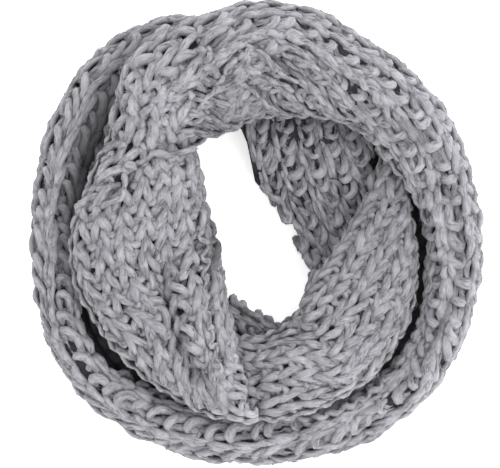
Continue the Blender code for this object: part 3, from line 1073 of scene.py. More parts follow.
CLOSED_RIB = Gauge(knit_width=13.5, purl_width=3, course=14.5, knit_lift=2, depth=2.8, overlap=11,
                   knit_bow=0.24, purl_bow=0.7, yarn=3, purl_yarn=0.75, ridge=2.2, rings=0, bumps=1,
                   open=0.15)
OPEN_RIB = replace(CLOSED_RIB, knit_width=12.5, purl_width=3.5, course=15, overlap=8.5, knit_bow=0.3,
                   yarn=3.2, purl_yarn=0.8, ridge=2.4, open=0)
LEFT_RIB = replace(OPEN_RIB, open=0.7)
TAIL = replace(OPEN_RIB, knit_width=11, knit_bow=0.22, yarn=2.9, open=0.9)
CREST = replace(CLOSED_RIB, purl_width=4.5, course=15.5, knit_lift=2.2, depth=3, overlap=7.5,
                knit_bow=0.27, purl_bow=0.5, yarn=3.4, ridge=2.4, lead=-1.6, loose=0.9, open=0.35)
WRONG_SIDE = Gauge(knit_width=5.5, purl_width=13.5, course=14.3, knit_lift=1.8, depth=3, overlap=7.5,
                   knit_bow=0.2, purl_bow=0.16, yarn=3.3, knit_yarn=0.9, tilt=0.3, lead=1, purl_lead=1.4,
                   rings=0.4, bumps=0.6, loose=1.2, core=2.9, core_lift=-2, core_light=0.5, open=0.45)
HORSESHOE = replace(WRONG_SIDE, knit_lift=1, overlap=7, knit_bow=0.16, purl_bow=0.17, yarn=3.2,
                    knit_yarn=0.8, purl_lead=1.5, rings=0.42, loose=1.6, open=0.4)
LIP = Gauge(knit_width=4, purl_width=13, course=12, knit_lift=-0.4, depth=2.6, overlap=6, knit_bow=0.15,
            purl_bow=0.13, yarn=2.7, knit_yarn=0.75, plump=0.15, tilt=0.22, lead=1, purl_lead=0.8,
            loose=1.6, core=2.5)
POCKET = Gauge(knit_width=4, purl_width=14, course=11.5, knit_lift=3, depth=2.4, overlap=9, knit_bow=0.1,
               purl_bow=0.32, yarn=2.4, knit_yarn=0.8, plump=0.2, lead=0.6, purl_lead=2.6, rings=0,
               bumps=-1)

FIELDS = [
    Field("tail", "inner_left", "upper", Edge.OUTER, 270, 257, TAIL,
          guide=((270, 7), (257, 7)), fan=0.25, seed=19),
    Field("left", "inner_left", "upper", Edge.INNER, 261, 118, LEFT_RIB,
          guide=((270, 3), (118, 3)),
          within=((270, 200), (174, 200), (172, 119), (165, 114), (150, 101),
                  (134, 92), (128, 82), (124, 60), (118, 60)),
          widths=(11.5, 3, 9.5, 9, 12.5), fan=0.25, square=215, heads=-1,
          changes=((240, OPEN_RIB),)),
    Field("crest", "top_over", "upper", Edge.OUTER, 176, 104, CREST,
          guide=((176, 11), (150, 37), (134, 49), (117, 51), (104, 43)),
          beyond=((176, 118), (165, 112.5), (150, 100), (134, 92), (126, 94),
                  (109, 112), (101, 122)),
          fan=0.6, seed=12),
    Field("band", None, "upper", Edge.OUTER, 106, -292.5, WRONG_SIDE,
          guide=((106, 48), (100, 44), (80, 37),
                 (72, 46), (37, 50), (0, 45), (-26, 34), (-38, 24), (-43, 17),
                 (-60, 15), (-100, 6), (-112, 2), (-160, 2), (-190, 6), (-292.5, 6)),
          beyond=((109, 112), (101, 122), (96, 130), (90, 140), (80, 142),
                  (74, 137), (66, 128), (59, 117), (54, 104), (51, 60), (12, 60),
                  (5, 131), (-4, 131), (-15, 139), (-25, 143), (-34, 146),
                  (-44, 150), (-53, 146), (-62, 140), (-66, 60), (-100, 60),
                  (-105, 138), (-114, 143), (-122, 145), (-130, 148), (-136, 149),
                  (-145, 151), (-156, 146), (-164, 140), (-172, 60), (-292.5, 60)),
          fan=1, seed=13,
          changes=((-60, WRONG_SIDE), (-90, HORSESHOE))),
    Field("pocket", "top_over", "upper", Edge.INNER, 130, 53, POCKET,
          guide=((130, 80), (101, 42), (83, 14), (75, 3), (50, -35), (44, -44)),
          lift=-0.4, seed=14,
          within=((130, 99), (126, 101), (109, 117), (101, 127), (96, 135),
                  (90, 145), (80, 147), (74, 142), (66, 139), (59, 138),
                  (55, 128), (52, 60))),
    Field("lip", "lower_lip", "lower", Edge.INNER, 105, -112.5, LIP,
          guide=((183, 8), (222, 8)), heads=-1,
          beyond=((105, 84), (97.5, 80), (92, 42), (82.5, 33), (75, 29), (60, 28.5),
                  (45, 27), (30, 27), (15, 30), (0, 34), (-15, 36), (-30, 47),
                  (-45, 56), (-112.5, 56)),
          within=((105, 99), (75, 108), (60, 113), (45, 114), (30, 107), (15, 98),
                  (-15, 98), (-36, 102), (-39, 0), (-112.5, 0)),
          spread=Fan(284, 128, 300, 110, 222, 183), seed=15),
    Field("lip_end", "lower_lip", "lower", Edge.INNER, -36, -112.5, LIP,
          guide=((-36, 6), (-112.5, 6)), seed=16),
    Field("middle", None, "middle", Edge.INNER, 35, -112.5, CLOSED_RIB,
          guide=((37.5, 38), (-40, 38), (-52, 36), (-60, 31), (-65, 23), (-75, 12.6),
                 (-90, 7), (-100, 9.5), (-112.5, 15)),
          within=((35, 200), (12, 200), (8, 121), (-4, 121.5), (-18, 128), (-27, 132.5),
                  (-36, 137), (-47, 141.5), (-60, 142), (-66, 200), (-112.5, 200)),
          fan=0.6, square=-70, heads=-1, seed=16),
]

EDGINGS = [
    Edging("inner_left", "upper", Edge.OUTER, ((262, 1), (172, 1)), sway=0.5),
    Edging("inner_left", "upper", Edge.INNER,
           ((257, 37), (247, 30), (234, 27), (213, 25), (196, 22), (174, 24)),
           radius=2.1, lift=5.5, sway=4.2, wave=14),
    Edging("top_over", "upper", Edge.OUTER, ((172, 1), (140, 1)), sway=0.5),
    Edging("top_over", "upper", Edge.INNER, ((128, 2), (66, 2)), lift=4),
    Edging("top_over", "upper", Edge.INNER, ((66, 2), (37.5, 2)), lift=4),
    Edging("outer_right", "upper", Edge.INNER, ((37.5, 2), (-28, 3)), radius=2.1),
    Edging("inner_bottom", "middle", Edge.OUTER, ((-37.5, 2), (-100, 3)), radius=2),
    Edging("inner_right", "middle", Edge.OUTER, ((8, 3), (-37.5, 2)), radius=1.8),
    Edging("inner_bottom", "middle", Edge.INNER, ((-40, 4), (-98, 4)), radius=2),
    Edging("lower_lip", "lower", Edge.INNER, ((82, 4), (20, 4), (5, 5), (-32, 5)), lift=2.5,
           radius=2.4, sway=0.6),
    Edging("lower_lip", "lower", Edge.INNER, ((-30, 4), (-108, 4)), lift=3, radius=2.4, sway=0.6),
    Edging("top_over", "upper", Edge.OUTER,
           ((136.5, 121.5), (123.7, 120.5), (115.3, 122.7), (108.7, 126), (102, 132), (96, 140),
            (89.7, 147), (80.4, 149), (74, 144), (65, 138), (54, 138), (37.5, 134)),
           distances=True, radius=2.7, lift=5.5, sway=1),
    Edging("top_over", "upper", Edge.OUTER,
           ((169.5, 116.7), (160, 104), (151.3, 95), (138, 88), (126.1, 83.8)),
           distances=True, radius=2.4, lift=9, sway=0.4),
    Edging("top_over", "upper", Edge.OUTER, ((101, 119.2), (92.8, 108), (83, 99.5)),
           distances=True, radius=1.8, lift=7, sway=0.3),
    Edging("top_over", "upper", Edge.OUTER, ((95.1, 128.2), (85.9, 117.7), (75.3, 110.8)),
           distances=True, radius=1.9, lift=7, sway=0.3),
    Edging("top_over", "upper", Edge.OUTER, ((91.6, 136.9), (83.1, 127.1), (73.5, 120.5)),
           distances=True, radius=1.8, lift=7, sway=0.3),
    Edging("top_over", "upper", Edge.OUTER, ((116, 104), (107, 113.5), (101.1, 121), (92, 136)),
           distances=True, radius=2, lift=5, sway=0.5),
    Edging("outer_right", "upper", Edge.OUTER, ((-7.7, 141.9), (-19.3, 144), (-30.5, 149.9), (-44, 153)),
           distances=True, radius=2.5, lift=5.5, sway=1.2),
    Edging("outer_bottom", "upper", Edge.OUTER,
           ((-43, 153), (-57.7, 152.9), (-69.4, 151), (-84, 144.2), (-96, 141)),
           distances=True, radius=2.5, lift=5.5, sway=1.2),
]


@dataclass(frozen=True)
class Stretch:
    """A stretch of the strip that shows, between two rays of its run."""

    node: str
    run: str
    start: float
    end: float


STRETCHES = [
    Stretch("inner_left", "upper", 270, 135),
    Stretch("top_over", "upper", 135, 37.5),
    Stretch("outer_right", "upper", 37.5, -45),
    Stretch("outer_bottom", "upper", -45, -135),
    Stretch("outer_left", "upper", -135, -225),
    Stretch("under_top", "upper", -225, -292.5),
    Stretch("lower_lip", "lower", 105, -112.5),
    Stretch("inner_right", "middle", 37.5, -37.5),
    Stretch("inner_bottom", "middle", -37.5, -112.5),
]

HIDDEN_NODES = ("hidden_layers", "hidden_top_fold")


@dataclass(frozen=True)
class Nap:
    """The fine fibres of the yarn: most lie along it, some stand off in loose arcs."""

    per_length: float           # fibres to a millimetre of yarn
    length: float
    width: float                # radius of a fibre at its middle
    lift: float                 # how far a fibre stands off the yarn at its middle
    loose_share: float
    loose_lift: float = 2.0     # how far a loose one does
    pale: float = 1.12          # painted light: fibres are painted lighter than the yarn under them, as they stand in more light
    sweep: float = 0.9          # turn round the yarn from end to end, in radians
    bend: float = 1.1           # how far round the yarn they start, in radians
    SIDES = 3
    SHARES = np.array([0.0, 0.5, 1.0])
    LEAST_FACING = -0.1         # cloth that faces further down than this has no nap to be seen
    ROOT = 0.93                 # share of the yarn's radius where fibres start
    LENGTHS = (0.5, 1.5)        # least and greatest share of the usual length
    LIFTS = (0.4, 1.6)
    WIDTHS = (0.6, 1.4)
    LIGHTS = (0.55, 1.15)
    ASKEW = np.array([0.31, 0.17, 0.94])    # a way that no fibre runs

    def comb(self, strand: Strand, random: np.random.Generator) -> tuple[np.ndarray, np.ndarray, np.ndarray]:
        """Lay fibres on a strand of yarn.

        Args:
            strand: The strand.
            random: Source of the unevenness.

        Returns:
            The fibres' points, three each, their radii at the middle, and their painted shade.
        """
        steps = lengths_to(strand.points)
        count = random.poisson(self.per_length * steps[-1])
        start = random.uniform(0.0, 1.0, count) * steps[-1]
        start = start[np.interp(start, steps, strand.facing[:, 2]) > self.LEAST_FACING]
        count = len(start)
        size = self.length * random.uniform(*self.LENGTHS, count)
        loose = random.uniform(0.0, 1.0, count) < self.loose_share
        lift = np.where(loose, self.loose_lift, self.lift) * random.uniform(*self.LIFTS, count)
        turn = random.normal(0.0, self.bend, count)
        sweep = random.normal(0.0, self.sweep, count)
        place = np.clip(start[:, None] + size[:, None] * (self.SHARES - 0.5), 0.0, steps[-1])
        centre, facing = (
            np.stack([np.interp(place, steps, values[:, k]) for k in range(3)], axis=2)
            for values in (strand.points, strand.facing))
        up, side = square_to(unit(np.gradient(centre, axis=1)), facing)
        angle = turn[:, None] + sweep[:, None] * (self.SHARES - 0.5)
        away = np.cos(angle)[..., None] * up + np.sin(angle)[..., None] * side
        off = lift[:, None] * np.where(loose[:, None], self.SHARES, np.sin(np.pi * self.SHARES))
        fibres = centre + away * (self.ROOT * np.interp(place, steps, strand.radius) + off)[..., None]
        # painted shade of the yarn under them, raised by the painted light of pale
        painted_shading = Yarn.painted_shading(np.interp(start, steps, strand.level), turn) * self.pale
        painted_shading = painted_shading * random.uniform(*self.LIGHTS, count)
        return fibres, self.width * random.uniform(*self.WIDTHS, count), painted_shading

    def skin(self, fibres: np.ndarray, widths: np.ndarray) -> tuple[np.ndarray, np.ndarray]:
        """Skin fibres as closed slivers, pointed at both ends.

        Args:
            fibres: Three points each.
            widths: The radius at the middle of each.

        Returns:
            Vertices and triangles, counted from the first vertex.
        """
        along = unit(fibres[:, 2] - fibres[:, 0])
        side = unit(np.cross(along, self.ASKEW))
        up = np.cross(side, along)
        turns = 2.0 * np.pi * np.arange(self.SIDES) / self.SIDES
        ring = np.cos(turns)[None, :, None] * side[:, None] + np.sin(turns)[None, :, None] * up[:, None]
        ring = ring * widths[:, None, None]
        vertices = np.concatenate([fibres[:, :1], fibres[:, 1:2] + ring, fibres[:, 2:]], axis=1)
        first = (self.SIDES + 2) * np.arange(len(fibres))[:, None]
        a, b = np.arange(self.SIDES), np.roll(np.arange(self.SIDES), -1)
        start = np.stack([np.zeros(self.SIDES, int), 1 + b, 1 + a], axis=1)
        finish = np.stack([np.full(self.SIDES, 1 + self.SIDES), 1 + a, 1 + b], axis=1)
        triangles = (first[:, :, None] + np.concatenate([start, finish])[None]).reshape(-1, 3)
        return vertices.reshape(-1, 3), triangles


NAPS = (
    Nap(per_length=0.42, length=6.5, width=0.16, lift=0.35, loose_share=0.22),
    Nap(per_length=0.5, length=6.5, width=0.42, lift=0.15, loose_share=0.03, pale=1.05),
)


class Yarn:
    """Turns strands of yarn into one mesh of round tubes with closed ends and a nap."""

    SIDES = 8
    FLATNESS = 0.92             # the yarn is pressed a little flat against the cloth
    TIP = 0.5                   # how far a closed end stands out, in radii
    LEAST_LEVEL = 0.2           # nothing goes lower than the surface that the scarf lies on
    STREAK = 3.5                # streaks of fibre are this many times as long as they are wide
    SKEIN = 900.0               # the streaks of each strand start somewhere on this length
    LUMPS = (                   # their length, turns round the yarn, and share of its radius
        (4.5, 3, 0.07), (7.0, 2, 0.09), (11.0, 1, 0.1), (17.0, 0, 0.1), (37.0, 0, 0.12))
    LUMP_LENGTHS = (0.8, 1.25)  # least and greatest share of a lump's usual length
    LUMP_TWIST = 0.4
    DEEPEST = 0.25              # painted shade: share of its colour that the lowest yarn keeps
    SIDE_LIGHT = 0.5            # painted shade on the yarn's own side: share of its colour kept there
    TURN_LIGHT = 0.65           # how much lighter its front is painted, and how much darker its back

    def __init__(self, name: str, seed: int) -> None:
        """Start an empty mesh.

        Args:
            name: The name of the piece.
            seed: Start of the yarn's unevenness.
        """
        self.name = name
        self.random = np.random.default_rng(seed)
        self.vertices: list[np.ndarray] = []
        self.quads: list[np.ndarray] = []
        self.triangles: list[np.ndarray] = []
        self.lay: list[np.ndarray] = []
        self.bare: list[np.ndarray] = []
        self.count = 0

    def add(self, strand: Strand) -> None:
        """Add one strand with its nap.

        Args:
            strand: The strand.
        """
        self.add_skin(strand)
        for nap in NAPS:
            self.add_nap(nap, strand)

    def add_skin(self, strand: Strand) -> None:
        """Skin one strand as a tube.

        Args:
            strand: The strand.
        """
        points = strand.points
        along = unit(np.gradient(points, axis=0))
        up, side = square_to(along, strand.facing)
        turns = 2.0 * np.pi * np.arange(self.SIDES) / self.SIDES
        steps = lengths_to(points)
        ring = (np.cos(turns)[None, :, None] * up[:, None] * self.FLATNESS
                + np.sin(turns)[None, :, None] * side[:, None])
        full = strand.radius[:, None] * self.lumps(steps, turns)
        skin = points[:, None] + full[..., None] * ring
        tips = np.stack([points[0] - along[0] * full[0, 0] * self.TIP,
                         points[-1] + along[-1] * full[-1, 0] * self.TIP])
        self.vertices.append(np.concatenate([skin.reshape(-1, 3), tips]))
        first_tip = self.count + skin.shape[0] * self.SIDES
        index = np.arange(self.count, first_tip).reshape(-1, self.SIDES)
        self.quads.append(tube_faces(index))
        for tip, end in ((first_tip, index[0][::-1]), (first_tip + 1, index[-1])):
            self.triangles.append(np.stack([np.full(self.SIDES, tip), end, np.roll(end, -1)], axis=1))
        place = np.stack([
            np.repeat((steps + self.random.uniform(0.0, self.SKEIN)) / self.STREAK, self.SIDES),
            (full * np.cos(turns)).ravel(),
            (full * np.sin(turns)).ravel(),
        ], axis=1)
        self.lay.append(np.concatenate([place, place[:1], place[-1:]]))
        # painted shade: darker on the yarn's sides and back and where it lies deep; the closed ends are
        # painted fully dark
        painted_shading = self.painted_shading(strand.level[:, None], turns[None]).ravel()
        self.bare.append(np.concatenate([painted_shading, [0.0, 0.0]]))
        self.count = first_tip + 2

    @classmethod
    def painted_shading(cls, level: np.ndarray, turn: np.ndarray) -> np.ndarray:
        """Return the yarn's painted shade, from how far to the front it lies and its side: darker on its
        sides, its back and in the depths.
        """
        side = np.clip(cls.SIDE_LIGHT + cls.TURN_LIGHT * np.cos(turn), 0.0, 1.0)
        return (cls.DEEPEST + (1.0 - cls.DEEPEST) * level) * side

    def add_nap(self, nap: Nap, strand: Strand) -> None:
        """Lay the fine fibres of the nap on a strand.

        Args:
            nap: The fibres' sizes.
            strand: The strand.
        """
        fibres, widths, painted_shading = nap.comb(strand, self.random)
        vertices, triangles = nap.skin(fibres, widths)
        self.vertices.append(vertices)
        self.triangles.append(triangles + self.count)
        self.lay.append(vertices)
        self.bare.append(np.repeat(painted_shading, len(vertices) // max(1, len(fibres))))
        self.count += len(vertices)

    def lumps(self, steps: np.ndarray, turns: np.ndarray) -> np.ndarray:
        """Work out how lumpy the yarn is.

        Args:
            steps: Lengths along it.
            turns: Turns round it.

        Returns:
            The share of its usual radius that it has at each length and turn.
        """
        shares = np.ones((len(steps), len(turns)))
        for length, times, size in self.LUMPS:
            start, twist = self.random.uniform(0.0, 2.0 * np.pi, 2)
            wave = 2.0 * np.pi * steps / length * self.random.uniform(*self.LUMP_LENGTHS)
            twisted = times * turns + twist + self.LUMP_TWIST * wave[:, None]
            shares += size * np.sin(wave + start)[:, None] * np.cos(twisted)
        return shares

    def build(self) -> bpy.types.Object:
        """Make the mesh.

        Returns:
            The piece, in metres.
        """
        vertices = np.concatenate(self.vertices)
        vertices[:, 2] = np.maximum(vertices[:, 2], self.LEAST_LEVEL)
        vertices *= MM
        quads, caps = np.concatenate(self.quads), np.concatenate(self.triangles)
        mesh = bpy.data.meshes.new(self.name)
        mesh.vertices.add(len(vertices))
        mesh.vertices.foreach_set("co", vertices.astype(np.float32).ravel())
        corners = np.concatenate([quads.ravel(), caps.ravel()])
        mesh.loops.add(len(corners))
        mesh.loops.foreach_set("vertex_index", corners.astype(np.int32))
        starts = np.concatenate([np.arange(len(quads)) * 4, len(quads) * 4 + np.arange(len(caps)) * 3])
        mesh.polygons.add(len(starts))
        mesh.polygons.foreach_set("loop_start", starts.astype(np.int32))
        mesh.update(calc_edges=True)
        mesh.shade_smooth()
        write_on(mesh, np.concatenate(self.lay), np.concatenate(self.bare))
        return put_in_scene(self.name, mesh)


@dataclass(frozen=True)
class WoolFinish:
    """Soft brushed wool: matt, with streaks of fibre that run along the yarn; its colour is darkened towards
    a shadow colour by painted shade, which also paints the nap paler.
    """

    name: str
    light: tuple[float, float, float]
    dark: tuple[float, float, float]
    roughness: float = 0.95
    specular: float = 0.1
    sheen: float = 0.15
    sheen_roughness: float = 0.6
    mottle: float = 70.0        # spots of colour to a metre
    streak: float = 0.75        # streaks of fibre to a millimetre of the yarn's girth
    streak_share: float = 0.55  # how much of the change of colour comes from the streaks
    contrast: tuple[float, float] = (0.37, 0.63)    # what counts as all dark and as all light
    relief: float = 1.2         # height of the streaks in millimetres
    shadow_share: float = 0.15        # painted shade: share of its colour kept where the painted shade is at its darkest

    def material(self) -> bpy.types.Material:
        """Make the finish.

        Returns:
            The material.
        """
        material = bpy.data.materials.new(self.name)
        material.use_nodes = True
        tree = material.node_tree
        place = self.node(tree, "TexCoord", {})
        mottle = self.noise(tree, self.mottle, 3.0, place.outputs["Object"])
        lay = self.node(tree, "Attribute", {}, attribute_name=LAY)
        fibre = self.noise(tree, self.streak, 4.0, lay.outputs["Vector"])
        both = self.node(tree, "Mix", {
            "Factor": self.streak_share, "A": mottle.outputs["Fac"], "B": fibre.outputs["Fac"]})
        spread = self.node(tree, "MapRange", {
            "From Min": self.contrast[0], "From Max": self.contrast[1], "Value": both.outputs["Result"]})
        tint = self.node(tree, "Mix", {
            "A": (*self.dark, 1.0), "B": (*self.light, 1.0), "Factor": spread.outputs["Result"]},
            data_type="RGBA")
        # painted shade: the colour is mixed towards a dark one by the painted shade on each point
        bare = self.node(tree, "Attribute", {}, attribute_name=PAINTED_SHADE)
        shadow_colour = (*(self.shadow_share * value for value in self.dark), 1.0)
        shaded_tint = self.node(tree, "Mix", {
            "A": shadow_colour, "Factor": bare.outputs["Fac"], "B": tint.outputs["Result"]}, data_type="RGBA")
        relief = self.node(tree, "Bump", {
            "Strength": 1.0, "Distance": self.relief * MM, "Height": fibre.outputs["Fac"]})
        self.fill(tree, tree.nodes["Principled BSDF"], {
            "Roughness": self.roughness, "Sheen Weight": self.sheen,
            "Sheen Roughness": self.sheen_roughness, "Specular IOR Level": self.specular,
            "Base Color": shaded_tint.outputs["Result"], "Normal": relief.outputs["Normal"]})
        return material

    def noise(self, tree: bpy.types.NodeTree, scale: float, detail: float,
              place: bpy.types.NodeSocket) -> bpy.types.Node:
        """Return a noise texture that is laid by some socket's places."""
        return self.node(tree, "TexNoise", {
            "Scale": scale, "Detail": detail, "Roughness": 0.6, "Vector": place})

    def node(self, tree: bpy.types.NodeTree, kind: str, inputs: dict[str, object],
             **settings: str) -> bpy.types.Node:
        """Add a node to the finish.

        Args:
            tree: The finish's nodes.
            kind: The node's kind.
            inputs: A number, a colour or another node's socket for each of its inputs.
            settings: Its settings.

        Returns:
            The node.
        """
        node = tree.nodes.new("ShaderNode" + kind)
        for name, value in settings.items():
            setattr(node, name, value)
        self.fill(tree, node, inputs)
        return node

    @staticmethod
    def fill(tree: bpy.types.NodeTree, node: bpy.types.Node, inputs: dict[str, object]) -> None:
        """Set or link the inputs of a node.

        Args:
            tree: The finish's nodes.
            node: The node.
            inputs: A number, a colour or another node's socket for each of its inputs.
        """
        for name, value in inputs.items():
            if isinstance(value, bpy.types.NodeSocket):
                tree.links.new(value, node.inputs[name])
            else:
                node.inputs[name].default_value = value


WOOL = WoolFinish("grey_wool", light=(0.53, 0.53, 0.565), dark=(0.27, 0.27, 0.295))
# painted shadow: a near-black wool for the ground, so that it reads as deep shade between the loops
SHADOW_WOOL = WoolFinish("deep_grey_wool", light=(0.05, 0.05, 0.056), dark=(0.018, 0.018, 0.021), sheen=0.0,
                       shadow_share=0.6)


@dataclass(frozen=True)
class Ground:
    """The thin felted ground of one stretch, behind its loops of yarn, finished near black as painted shadow
    between them.
    """

    stretch: Stretch
    run: Run
    ray_step: float = 2.5       # degrees between two rays of the shell
    places: int = 49            # points across each of its faces
    inner_depth: float = 0.85   # share of the cloth's thickness where its inner face is
    least_level: float = 0.3
    light: float = 1.0          # painted shade: share of its finish's colour that it keeps

    def build(self) -> tuple[bpy.types.Object, tuple[float, float]]:
        """Build the ground as a closed thin shell.

        Returns:
            The piece, and the width and length of its cloth laid flat, in metres.
        """
        stretch = self.stretch
        count = round((stretch.start - stretch.end) / self.ray_step) + 1
        rays = np.linspace(stretch.start, stretch.end, count)
        angles = np.linspace(180.0 + ROLL, -ROLL, self.places)
        outer, inner = (
            np.array([self.run.ray_points(at, angles, depth) for at in rays])
            for depth in (GROUND_DEPTH, self.inner_depth))
        across = np.linalg.norm(np.diff(outer, axis=1), axis=2).sum(axis=1).mean()
        along = np.linalg.norm(np.diff(outer, axis=0), axis=2).sum(axis=0).mean()
        loops = np.concatenate([outer, inner[:, ::-1]], axis=1)
        loops[..., 2] = np.maximum(loops[..., 2], self.least_level)
        index = np.arange(loops.shape[0] * loops.shape[1]).reshape(loops.shape[:2])
        faces = [tube_faces(index)]
        for row in (index[0][::-1], index[-1]):
            near, far = row[:self.places], row[self.places:][::-1]
            faces.append(np.stack([near[:-1], near[1:], far[1:], far[:-1]], axis=1))
        mesh = bpy.data.meshes.new(stretch.node + "_ground")
        mesh.from_pydata((loops.reshape(-1, 3) * MM).tolist(), [], np.concatenate(faces).tolist())
        mesh.shade_smooth()
        write_on(mesh, loops, np.full(index.size, self.light))
        return put_in_scene(stretch.node + "_ground", mesh), (float(across) * MM, float(along) * MM)


@dataclass(frozen=True)
class Hidden:
    """Layers of the scarf that lie under others, knitted in relief on their shared solid."""

    node: str
    solid: bpy.types.Object
    voxel: float = 3.2
    groove: float = 3.0         # how deep the relief goes
    course: float = 15.0
    column: float = 12.5
    waver: float = 0.12         # how far the columns wander, in columns
    wavers: float = 3.0         # how often they do so round the ring
    slant: float = 0.9          # how far a stitch's arms rise, in rows
    fullness: float = 1.9       # how soon a column rounds off towards its sides
    light: float = 0.6          # painted shade on the layers: share of their colour that they keep
    gap_light: float = 0.1      # painted shadow: the same under the gap between two turns
    gap: tuple[float, ...] = (98.0, 112.0, 142.0, 156.0)    # where the gap fades in and out

    def build(self) -> bpy.types.Object:
        """Press rows of stitches into the solid.

        Returns:
            The piece.
        """
        fine = self.fine_mesh()
        points, facing = np.empty((2, len(fine.vertices) * 3), np.float32)
        fine.vertices.foreach_get("co", points)
        fine.vertex_normals.foreach_get("vector", facing)
        points, facing = points.reshape(-1, 3) / MM, facing.reshape(-1, 3)
        relief = self.relief(points)
        points = points - (self.groove * (1.0 - relief))[:, None] * facing
        points[:, 2] = np.maximum(points[:, 2], Yarn.LEAST_LEVEL)
        fine.vertices.foreach_set("co", (points * MM).astype(np.float32).ravel())
        # painted shade: dark under the gap between two turns, and darker in the relief's grooves
        lights = (self.light, self.gap_light, self.gap_light, self.light)
        write_on(fine, points, np.interp(from_middle(points)[0], self.gap, lights) * relief)
        piece = put_in_scene(self.node + "_knit", fine)
        piece.matrix_world = self.solid.matrix_world
        return piece

    def fine_mesh(self) -> bpy.types.Mesh:
        """Make the solid's mesh anew in small even faces.

        Returns:
            The fine mesh.
        """
        rough = put_in_scene(self.node + "_rough", self.solid.data.copy())
        rough.data.materials.clear()
        rough.matrix_world = self.solid.matrix_world
        remesh = rough.modifiers.new("fine", "REMESH")
        remesh.mode = "VOXEL"
        remesh.voxel_size = self.voxel * MM
        remesh.use_smooth_shade = True
        fine = bpy.data.meshes.new_from_object(rough.evaluated_get(bpy.context.evaluated_depsgraph_get()))
        fine.name = self.node + "_knit"
        mesh = rough.data
        bpy.data.objects.remove(rough)
        bpy.data.meshes.remove(mesh)
        return fine

    def relief(self, points: np.ndarray) -> np.ndarray:
        """Work out how far the knit is pressed in.

        Args:
            points: Places on it.

        Returns:
            The share of its full height that each of them keeps.
        """
        radius, turn = from_middle(points)
        column = radius / self.column + self.waver * np.sin(self.wavers * turn)
        side = np.abs(column - np.floor(column) - 0.5)
        rows = np.round(2.0 * np.pi * self.column * (np.floor(column) + 0.5) / self.course)
        row = turn / (2.0 * np.pi) * rows + self.slant * side
        stitch = 0.5 + 0.5 * np.cos(2.0 * np.pi * row)
        return np.sqrt(stitch) * np.sqrt(np.clip(1.0 - (self.fullness * side) ** 2, 0.0, 1.0))


class Scarf:
    """The whole scarf."""

    def __init__(self) -> None:
        """Set out the runs of the strip and its finishes."""
        self.runs = {"upper": Run(UPPER_RUN, TROUGHS + CREASES), "lower": Run(LOWER_RUN, SHADOWS),
                     "middle": Run(MIDDLE_RUN, RIGHT_SHADOWS)}
        self.wool, self.shadow_wool = WOOL.material(), SHADOW_WOOL.material()

    @staticmethod
    def owner(field: Field, at: float) -> str:
        """Find the stretch that a strand belongs to.

        Args:
            field: The strand's patch.
            at: The ray that it lies round.

        Returns:
            The stretch's node.
        """
        stretches = [stretch for stretch in STRETCHES if stretch.run == field.run]
        return field.node or next(
            (stretch.node for stretch in stretches if at > stretch.end), stretches[-1].node)

    def knit(self) -> dict[str, bpy.types.Object]:
        """Knit every patch and lay every edging.

        Returns:
            The yarn of each stretch, by its node's name.
        """
        yarns = {stretch.node: Yarn(stretch.node + "_yarn", seed) for seed, stretch in enumerate(STRETCHES)}
        for field in FIELDS:
            run = self.runs[field.run]
            surface = Patch(run, field.spread) if field.spread else Surface(
                run, field.edge, field.start, field.end)
            strands = Knitter(field, surface).strands()
            for strand in strands:
                yarns[self.owner(field, strand.at)].add(strand)
            log.info("%s: %d strands", field.name, len(strands))
        for seed, edging in enumerate(EDGINGS, start=31):
            yarns[edging.node].add(edging.strand(self.runs[edging.run], np.random.default_rng(seed)))
        return {node: yarn.build() for node, yarn in yarns.items()}

    @staticmethod
    def dress(piece: bpy.types.Object, finish: bpy.types.Material) -> None:
        """Give a piece its finish and its place on the frame.

        Args:
            piece: The piece.
            finish: Its material.
        """
        piece.data.materials.append(finish)
        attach(piece, BODY)

    def build(self, nodes: dict[str, bpy.types.Object]) -> None:
        """Build and dress the whole scarf.

        Args:
            nodes: The frame's solids by name.
        """
        for node in HIDDEN_NODES:
            piece = Hidden(node, nodes[node]).build()
            self.dress(piece, self.wool)
            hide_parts(node)
            log.info("%s: %d triangles", node, triangles(piece))
        yarns = self.knit()
        for stretch in STRETCHES:
            ground, flat = Ground(stretch, self.runs[stretch.run]).build()
            yarn = yarns[stretch.node]
            # the ground is finished near black as painted shadow
            self.dress(ground, self.shadow_wool)
            self.dress(yarn, self.wool)
            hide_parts(stretch.node)
            log.info("%s: %d triangles of yarn on %d of ground, cloth %.0f by %.0f mm", stretch.node,
                     triangles(yarn), triangles(ground), flat[0] / MM, flat[1] / MM)


@dataclass(frozen=True)
class SoftLight:
    """A square soft light that faces the scarf."""

    name: str
    place: tuple[float, float, float]
    size: float
    power: float

    def hang(self) -> None:
        """Hang the light."""
        data = bpy.data.lights.new(self.name, "AREA")
        data.size = self.size
        data.energy = self.power
        light = put_in_scene(self.name, data)
        light.location = self.place
        light.rotation_euler = (-light.location).to_track_quat("-Z", "Y").to_euler()


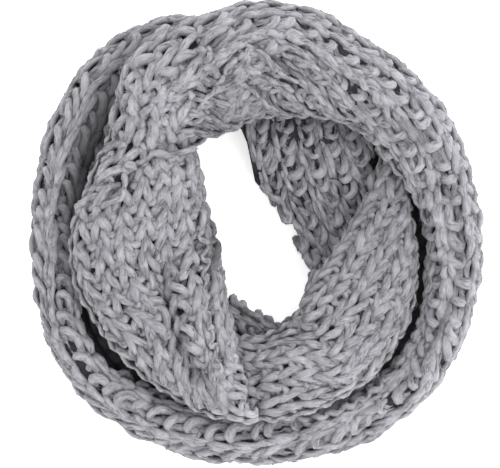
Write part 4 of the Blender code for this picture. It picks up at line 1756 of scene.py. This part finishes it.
@dataclass(frozen=True)
class Studio:
    """A plain pale floor, soft lights and a camera that looks straight down."""

    lights: tuple[SoftLight, ...] = (
        SoftLight("upper_right", (0.8, 0.8, 1.1), 0.7, 6.0),
        SoftLight("lower_right", (0.8, -0.8, 1.1), 0.7, 7.0),
    )
    white: tuple[float, ...] = (1.0, 1.0, 1.0, 1.0)
    sky_light: float = 1.16
    floor_size: float = 6.0
    floor_colour: tuple[float, ...] = (0.9, 0.9, 0.9, 1.0)
    floor_roughness: float = 0.9
    floor_glow: float = 0.55
    camera_place: tuple[float, float, float] = (-4.6 * MM, 0.67 * MM, 2.2)
    filled_level: float = 0.045     # the level that fills the frame from side to side
    frame_width: int = 500          # pixels
    pixel: float = 0.76             # millimetres on that level
    sensor: float = 36.0

    def build(self) -> None:
        """Set the stage."""
        self.floor()
        for light in self.lights:
            light.hang()
        world = bpy.context.scene.world or bpy.data.worlds.new("studio")
        bpy.context.scene.world = world
        world.use_nodes = True
        sky = world.node_tree.nodes["Background"].inputs
        sky["Color"].default_value = self.white
        sky["Strength"].default_value = self.sky_light
        bpy.context.scene.view_settings.view_transform = "Standard"
        self.camera()

    def floor(self) -> None:
        """Lay the floor."""
        bpy.ops.mesh.primitive_plane_add(size=self.floor_size, location=(0.0, 0.0, 0.0))
        floor = bpy.context.object
        floor.name = "floor"
        material = bpy.data.materials.new("floor_paper")
        material.use_nodes = True
        paper = material.node_tree.nodes["Principled BSDF"].inputs
        paper["Base Color"].default_value = self.floor_colour
        paper["Roughness"].default_value = self.floor_roughness
        paper["Emission Color"].default_value = self.white
        paper["Emission Strength"].default_value = self.floor_glow
        floor.data.materials.append(material)

    def camera(self) -> None:
        """Hang the camera over the scarf."""
        data = bpy.data.cameras.new("camera")
        data.sensor_fit = "HORIZONTAL"
        data.sensor_width = self.sensor
        width = self.frame_width * self.pixel * MM
        data.lens = self.sensor * (self.camera_place[2] - self.filled_level) / width
        camera = put_in_scene("camera", data)
        camera.location = self.camera_place
        bpy.context.scene.camera = camera


def triangles(piece: bpy.types.Object) -> int:
    """Return how many triangles a piece's mesh makes."""
    return len(piece.data.loops) - 2 * len(piece.data.polygons)


def main() -> None:
    """Build the scarf on its frame and set the stage."""
    logging.basicConfig(level=logging.INFO, format="%(name)s: %(message)s")
    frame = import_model()
    log.info("frame with %d nodes", len(frame["nodes"]))
    Scarf().build(frame["nodes"])
    Studio().build()


if __name__ == "__main__":
    main()
